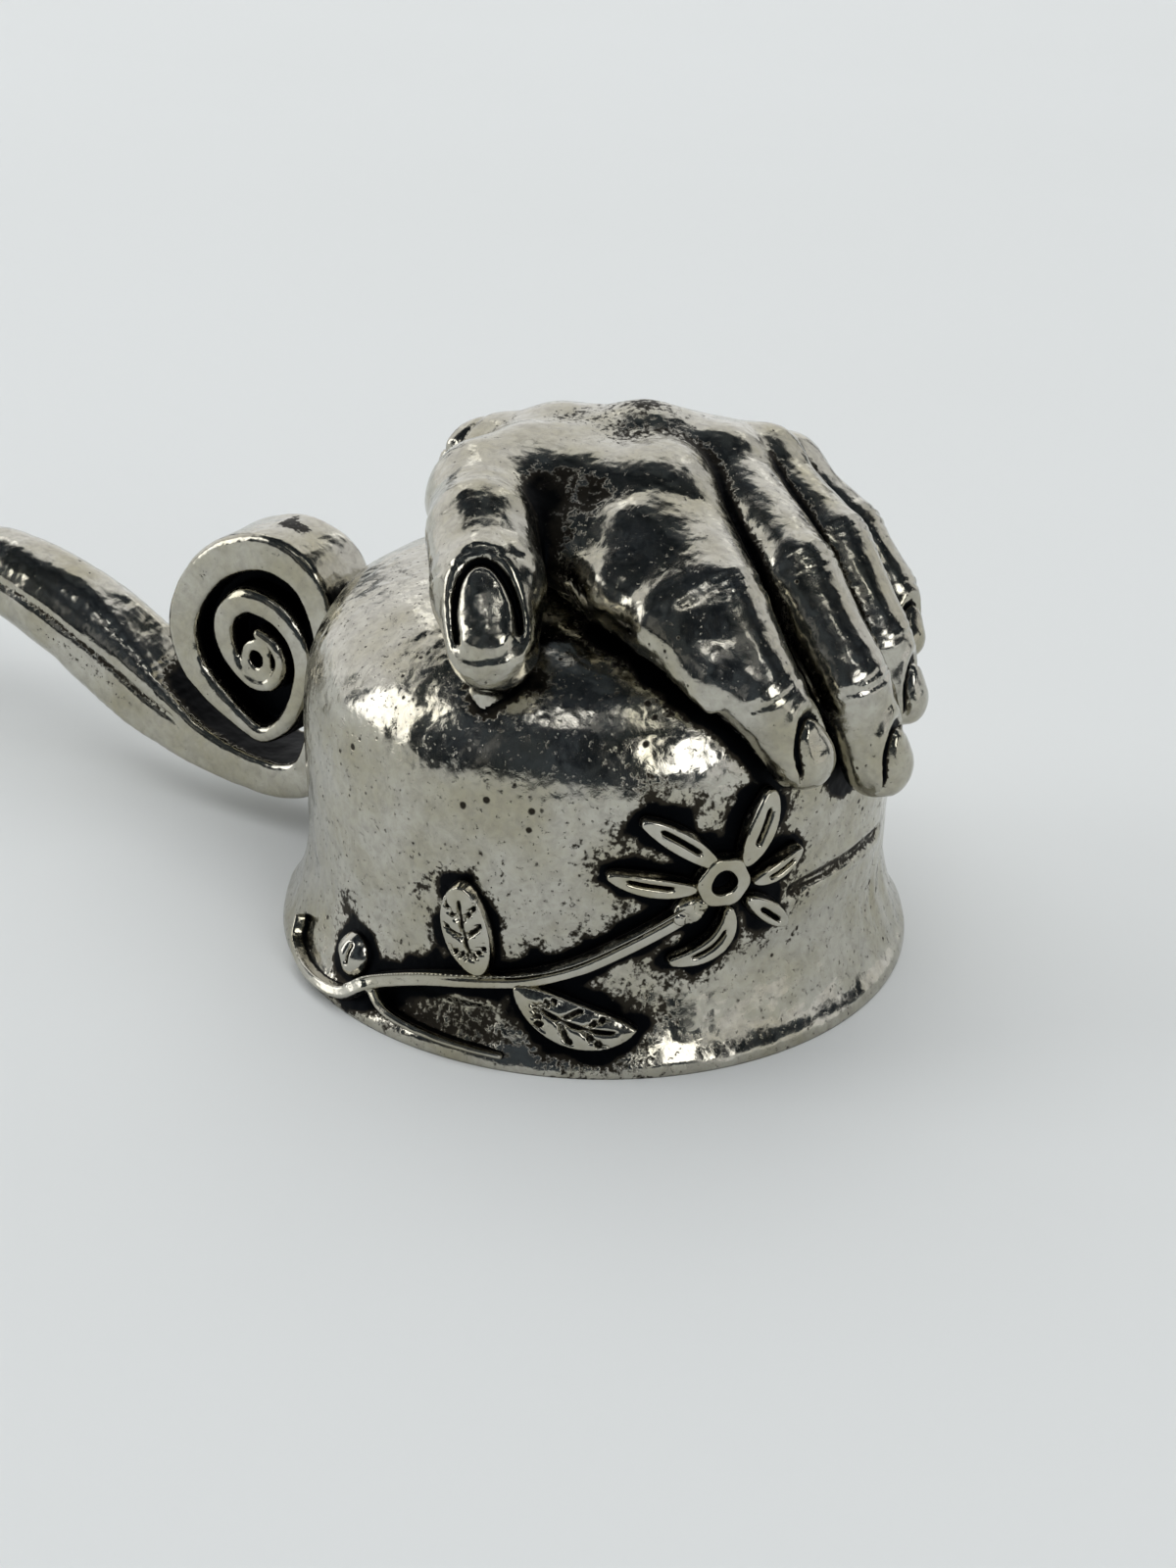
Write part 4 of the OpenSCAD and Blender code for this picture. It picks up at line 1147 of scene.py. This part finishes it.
def makeClapper():
    c = clapper
    under = bell["crownZ"] - bell["wall"] - c["washerT"]
    studEye = under - c["wireR"] - c["eyeR"]
    linkZ = studEye - c["eyeR"] + 2 * c["wireR"] + c["gap"] - c["linkR"]
    rodEye = linkZ - c["linkR"] + 2 * c["wireR"] + c["gap"] - c["eyeR"]
    flat, crossways = (math.pi / 2, 0, 0), (0, math.pi / 2, 0)
    top = bell["crownZ"] + c["grip"]
    r, end = c["studR"], studEye + c["eyeR"]
    shaft = [(0, top), (r - 0.15, top), (r, top - 0.15), (r, under - 0.1), (r - 0.05, under - 0.3),
             (r - 0.3, end), (0, end)]
    stud = joined("wire_stud", [
        wirePiece("studEye", c["eyeR"], c["wireR"], (0, 0, studEye), flat, brightWire),
        turnedPiece("studShaft", shaft, brightWire, 48)])
    paint(stud, "patinaAndShade", 0.35 * smooth((meshPoints(stud)[:, 2] - under + 0.6) / 0.6))
    place(stud, "rattle_body", "steel_fittings", "eye_stud")
    bore, w, t = c["studR"] + 0.05, c["washerR"], c["washerT"]
    disc = [(bore, under + t), (bore, under + 0.08), (bore + 0.08, under), (w - 0.14, under),
            (w, under + 0.14), (w, under + t - 0.1), (w - 0.1, under + t), (bore, under + t)]
    washer = turnedPiece("turned_washer", disc, turnedRod, 96)
    paint(washer, "patinaAndShade", 0.3 * smooth((bore + 0.4 - np.hypot(*meshPoints(washer)[:, :2].T)) / 0.3))
    place(washer, "rattle_body", "steel_fittings", "crown_washer")
    link = wirePiece("wire_link", c["linkR"], c["wireR"], (0, 0, linkZ), crossways, brightWire)
    points = meshPoints(link)
    # the ring was cut from a coil and pressed shut, which leaves a fine slit
    slit = peak(points[:, 2] - linkZ, 0.12) * (points[:, 1] > 0)
    paint(link, "patinaAndShade", slit)
    place(link, "link", "steel_fittings", "jump_ring")
    seat = c["ballZ"] + c["ballR"]
    r, top = c["shankR"], rodEye - c["eyeR"]
    shank = [(0, top + 0.1), (r * 0.8, top + 0.1), (r, top - 0.35), (r, seat + 0.1), (r, seat - 2.4),
             (0, seat - 2.4)]
    rod = joined("wire_clapper", [
        wirePiece("rodEye", c["eyeR"], c["wireR"], (0, 0, rodEye), flat, turnedRod),
        turnedPiece("rodShank", shank, turnedRod, 48)])
    paint(rod, "patinaAndShade", 0.5 * smooth((seat + 0.5 - meshPoints(rod)[:, 2]) / 0.6))
    place(rod, "clapper", "steel_rod", "clapper_rod")
    a = np.linspace(math.pi / 2, -math.pi / 2, 81)
    line = np.stack([c["ballR"] * np.cos(a), c["ballZ"] + c["ballR"] * np.sin(a)], 1)
    # a bead where the two halves of the mould met, and a dimple where the rod goes in
    line[:, 0] += 0.1 * peak(line[:, 1] - c["ballZ"], 0.16)
    line[:, 1] -= 0.3 * peak(line[:, 0], 0.9) * (line[:, 1] > c["ballZ"])
    line[0, 0] = line[-1, 0] = 0
    ball = turnedPiece("cast_clapper", line, dullBall, 144, 0.06, 1.6, 7, -5)
    points = meshPoints(ball)
    marks = 0.5 * peak(np.hypot(points[:, 0], points[:, 1]) - 0.8, 0.5) * (points[:, 2] > c["ballZ"])
    marks += 0.4 * peak(np.abs(points[:, 2] - c["ballZ"]) - 0.35, 0.2)
    paint(ball, "patinaAndShade", 0.12 + marks)
    place(ball, "clapper", "clapper_metal", "clapper_ball")


makeHand()
print("hand carved")
makeBell()
print("bell turned")
f = flower
for i, points in enumerate(f["petals"]):
    shifted = [(p[0], p[1] + f["z"]) for p in points[:3]]
    reliefPiece(f"petal_{i + 1}", petalHeight(shifted, points[3]), shifted, 1.6)
for side in ("upper", "lower"):
    leaf = side + "Leaf"
    reliefPiece("leaf_" + side, leafHeight(f[leaf], f["widths"][leaf]), f[leaf], 2.2)
reliefPiece("calyx", calyxHeight, f["calyx"], 1.6)
reliefPiece("stem", stemHeight, f["stem"] + f["fold"] + f["branch"], 0.75)
reliefPiece("flower_ring", ringHeight, [f["ring"]], 2.2)
reliefPiece("stem_bud", budHeight, [f["bud"]], 2.0)
print("spray chased")
makeHandle()
print("handle carved")
makeClapper()
print("clapper hung")


# The table, the light and the camera
studio = {
    "overhead": 18.4,  # power of the light that the metal doesn't mirror
    "window": 2.7,
    "sideWindow": 3.2,
    "card": 0.95,
    "lowCard": 0.8,
    "ceiling": 0.16,
    "skylight": 1.9,
    "room": "#1b2026",
    "roomLight": "#474e55",
    "backdrop": "#d3d6d6",
    "board": ("#dfe2e1", "#e3e6e6"),
    "boardHalf": 1800.0,
}


def paleTable():
    # matt white board with the faintest mottle
    material, tree = freshMaterial("matt white board")
    place3d = add(tree, "ShaderNodeTexCoord").outputs["Object"]
    cloud = add(tree, "ShaderNodeTexNoise", {"Vector": place3d, "Scale": 9.0, "Detail": 3.0})
    pale, paler = (linear(shade) for shade in studio["board"])
    colour = add(tree, "ShaderNodeMix", {"Factor": cloud, "A": pale, "B": paler}, data_type="RGBA")
    shader = add(tree, "ShaderNodeBsdfPrincipled", {"Base Color": colour, "Roughness": 0.85})
    add(tree, "ShaderNodeOutputMaterial", {"Surface": shader})
    return material


half = studio["boardHalf"]
table = plainMesh("table", [(-half, -half, 0), (half, -half, 0), (half, half, 0), (-half, half, 0)],
                  [(0, 1, 2, 3)], paleTable())

def softbox(name, azimuth, elevation, distance, wide, high, radiance, mirrored=True):
    light = bpy.data.lights.new(name, "AREA")
    light.shape = "RECTANGLE"
    light.size, light.size_y = wide, high
    light.energy = radiance * wide * high * math.pi if mirrored else radiance
    lamp = linked(name, light)
    a, e = math.radians(azimuth), math.radians(elevation)
    lamp.location = Vector((math.cos(a) * math.cos(e), math.sin(a) * math.cos(e), math.sin(e))) * distance
    lamp.rotation_euler = (-lamp.location).to_track_quat("-Z", "Y").to_euler()
    lamp.visible_camera = False
    lamp.visible_glossy = mirrored


softbox("overhead", 60, 88, 1.5, 2.2, 2.2, studio["overhead"], mirrored=False)
softbox("window", -151, 18, 1.4, 0.66, 1.1, studio["window"])
softbox("sideWindow", -27, 30, 1.4, 0.48, 0.72, studio["sideWindow"])
softbox("ceiling", -75, 66, 1.5, 0.7, 0.35, studio["ceiling"])
softbox("skylight", -88, 66, 1.4, 0.2, 0.16, studio["skylight"])
softbox("farSkylight", -24, 66, 1.4, 0.12, 0.34, studio["skylight"])
softbox("doorway", -105, 24, 1.6, 0.3, 0.8, studio["ceiling"])
softbox("leftCard", 165, 22, 1.5, 1.2, 1.4, studio["card"])
softbox("backCard", 118, 27, 1.5, 1.2, 1.6, studio["card"])
softbox("rightCard", 70, 20, 1.5, 1.2, 1.25, studio["card"] * 0.8)
softbox("lowCard", 8, 5, 1.5, 1.6, 0.5, studio["lowCard"])

world = bpy.data.worlds.new("dim room")
bpy.context.scene.world = world
world.use_nodes = True
# the dim room is uneven, so that what mirrors it isn't flat
tree = world.node_tree
around = add(tree, "ShaderNodeTexCoord").outputs["Generated"]
shapes = add(tree, "ShaderNodeTexNoise", {"Vector": around, "Scale": 2.6, "Detail": 3.0})
level = add(tree, "ShaderNodeMapRange", {"Value": shapes, "From Min": 0.4, "From Max": 0.62})
room = add(tree, "ShaderNodeMix", {"Factor": level, "A": linear(studio["room"]),
           "B": linear(studio["roomLight"])}, data_type="RGBA")
# seen straight on, past the table's edge, it is a pale backdrop
seen = add(tree, "ShaderNodeLightPath").outputs["Is Camera Ray"]
backdrop = add(tree, "ShaderNodeMix", {"Factor": seen, "A": room, "B": linear(studio["backdrop"])},
               data_type="RGBA")
tree.links.new(backdrop.outputs["Result"], tree.nodes["Background"].inputs["Color"])
bpy.context.scene.view_settings.view_transform = "Standard"

view = bpy.data.cameras.new("view")
view.lens = 54
view.sensor_width = 36
view.clip_start = 0.01
camera = linked("view", view)
right, up = Vector((0.85807, 0.51307, 0.02185)), Vector((-0.24661, 0.37437, 0.89389))
camera.matrix_world = Matrix.Translation(Vector((66.125, -114.532, 75.129)) * mm) @ Matrix(
    (right, up, right.cross(up))).transposed().to_4x4()
bpy.context.scene.camera = camera
print("scene lit")
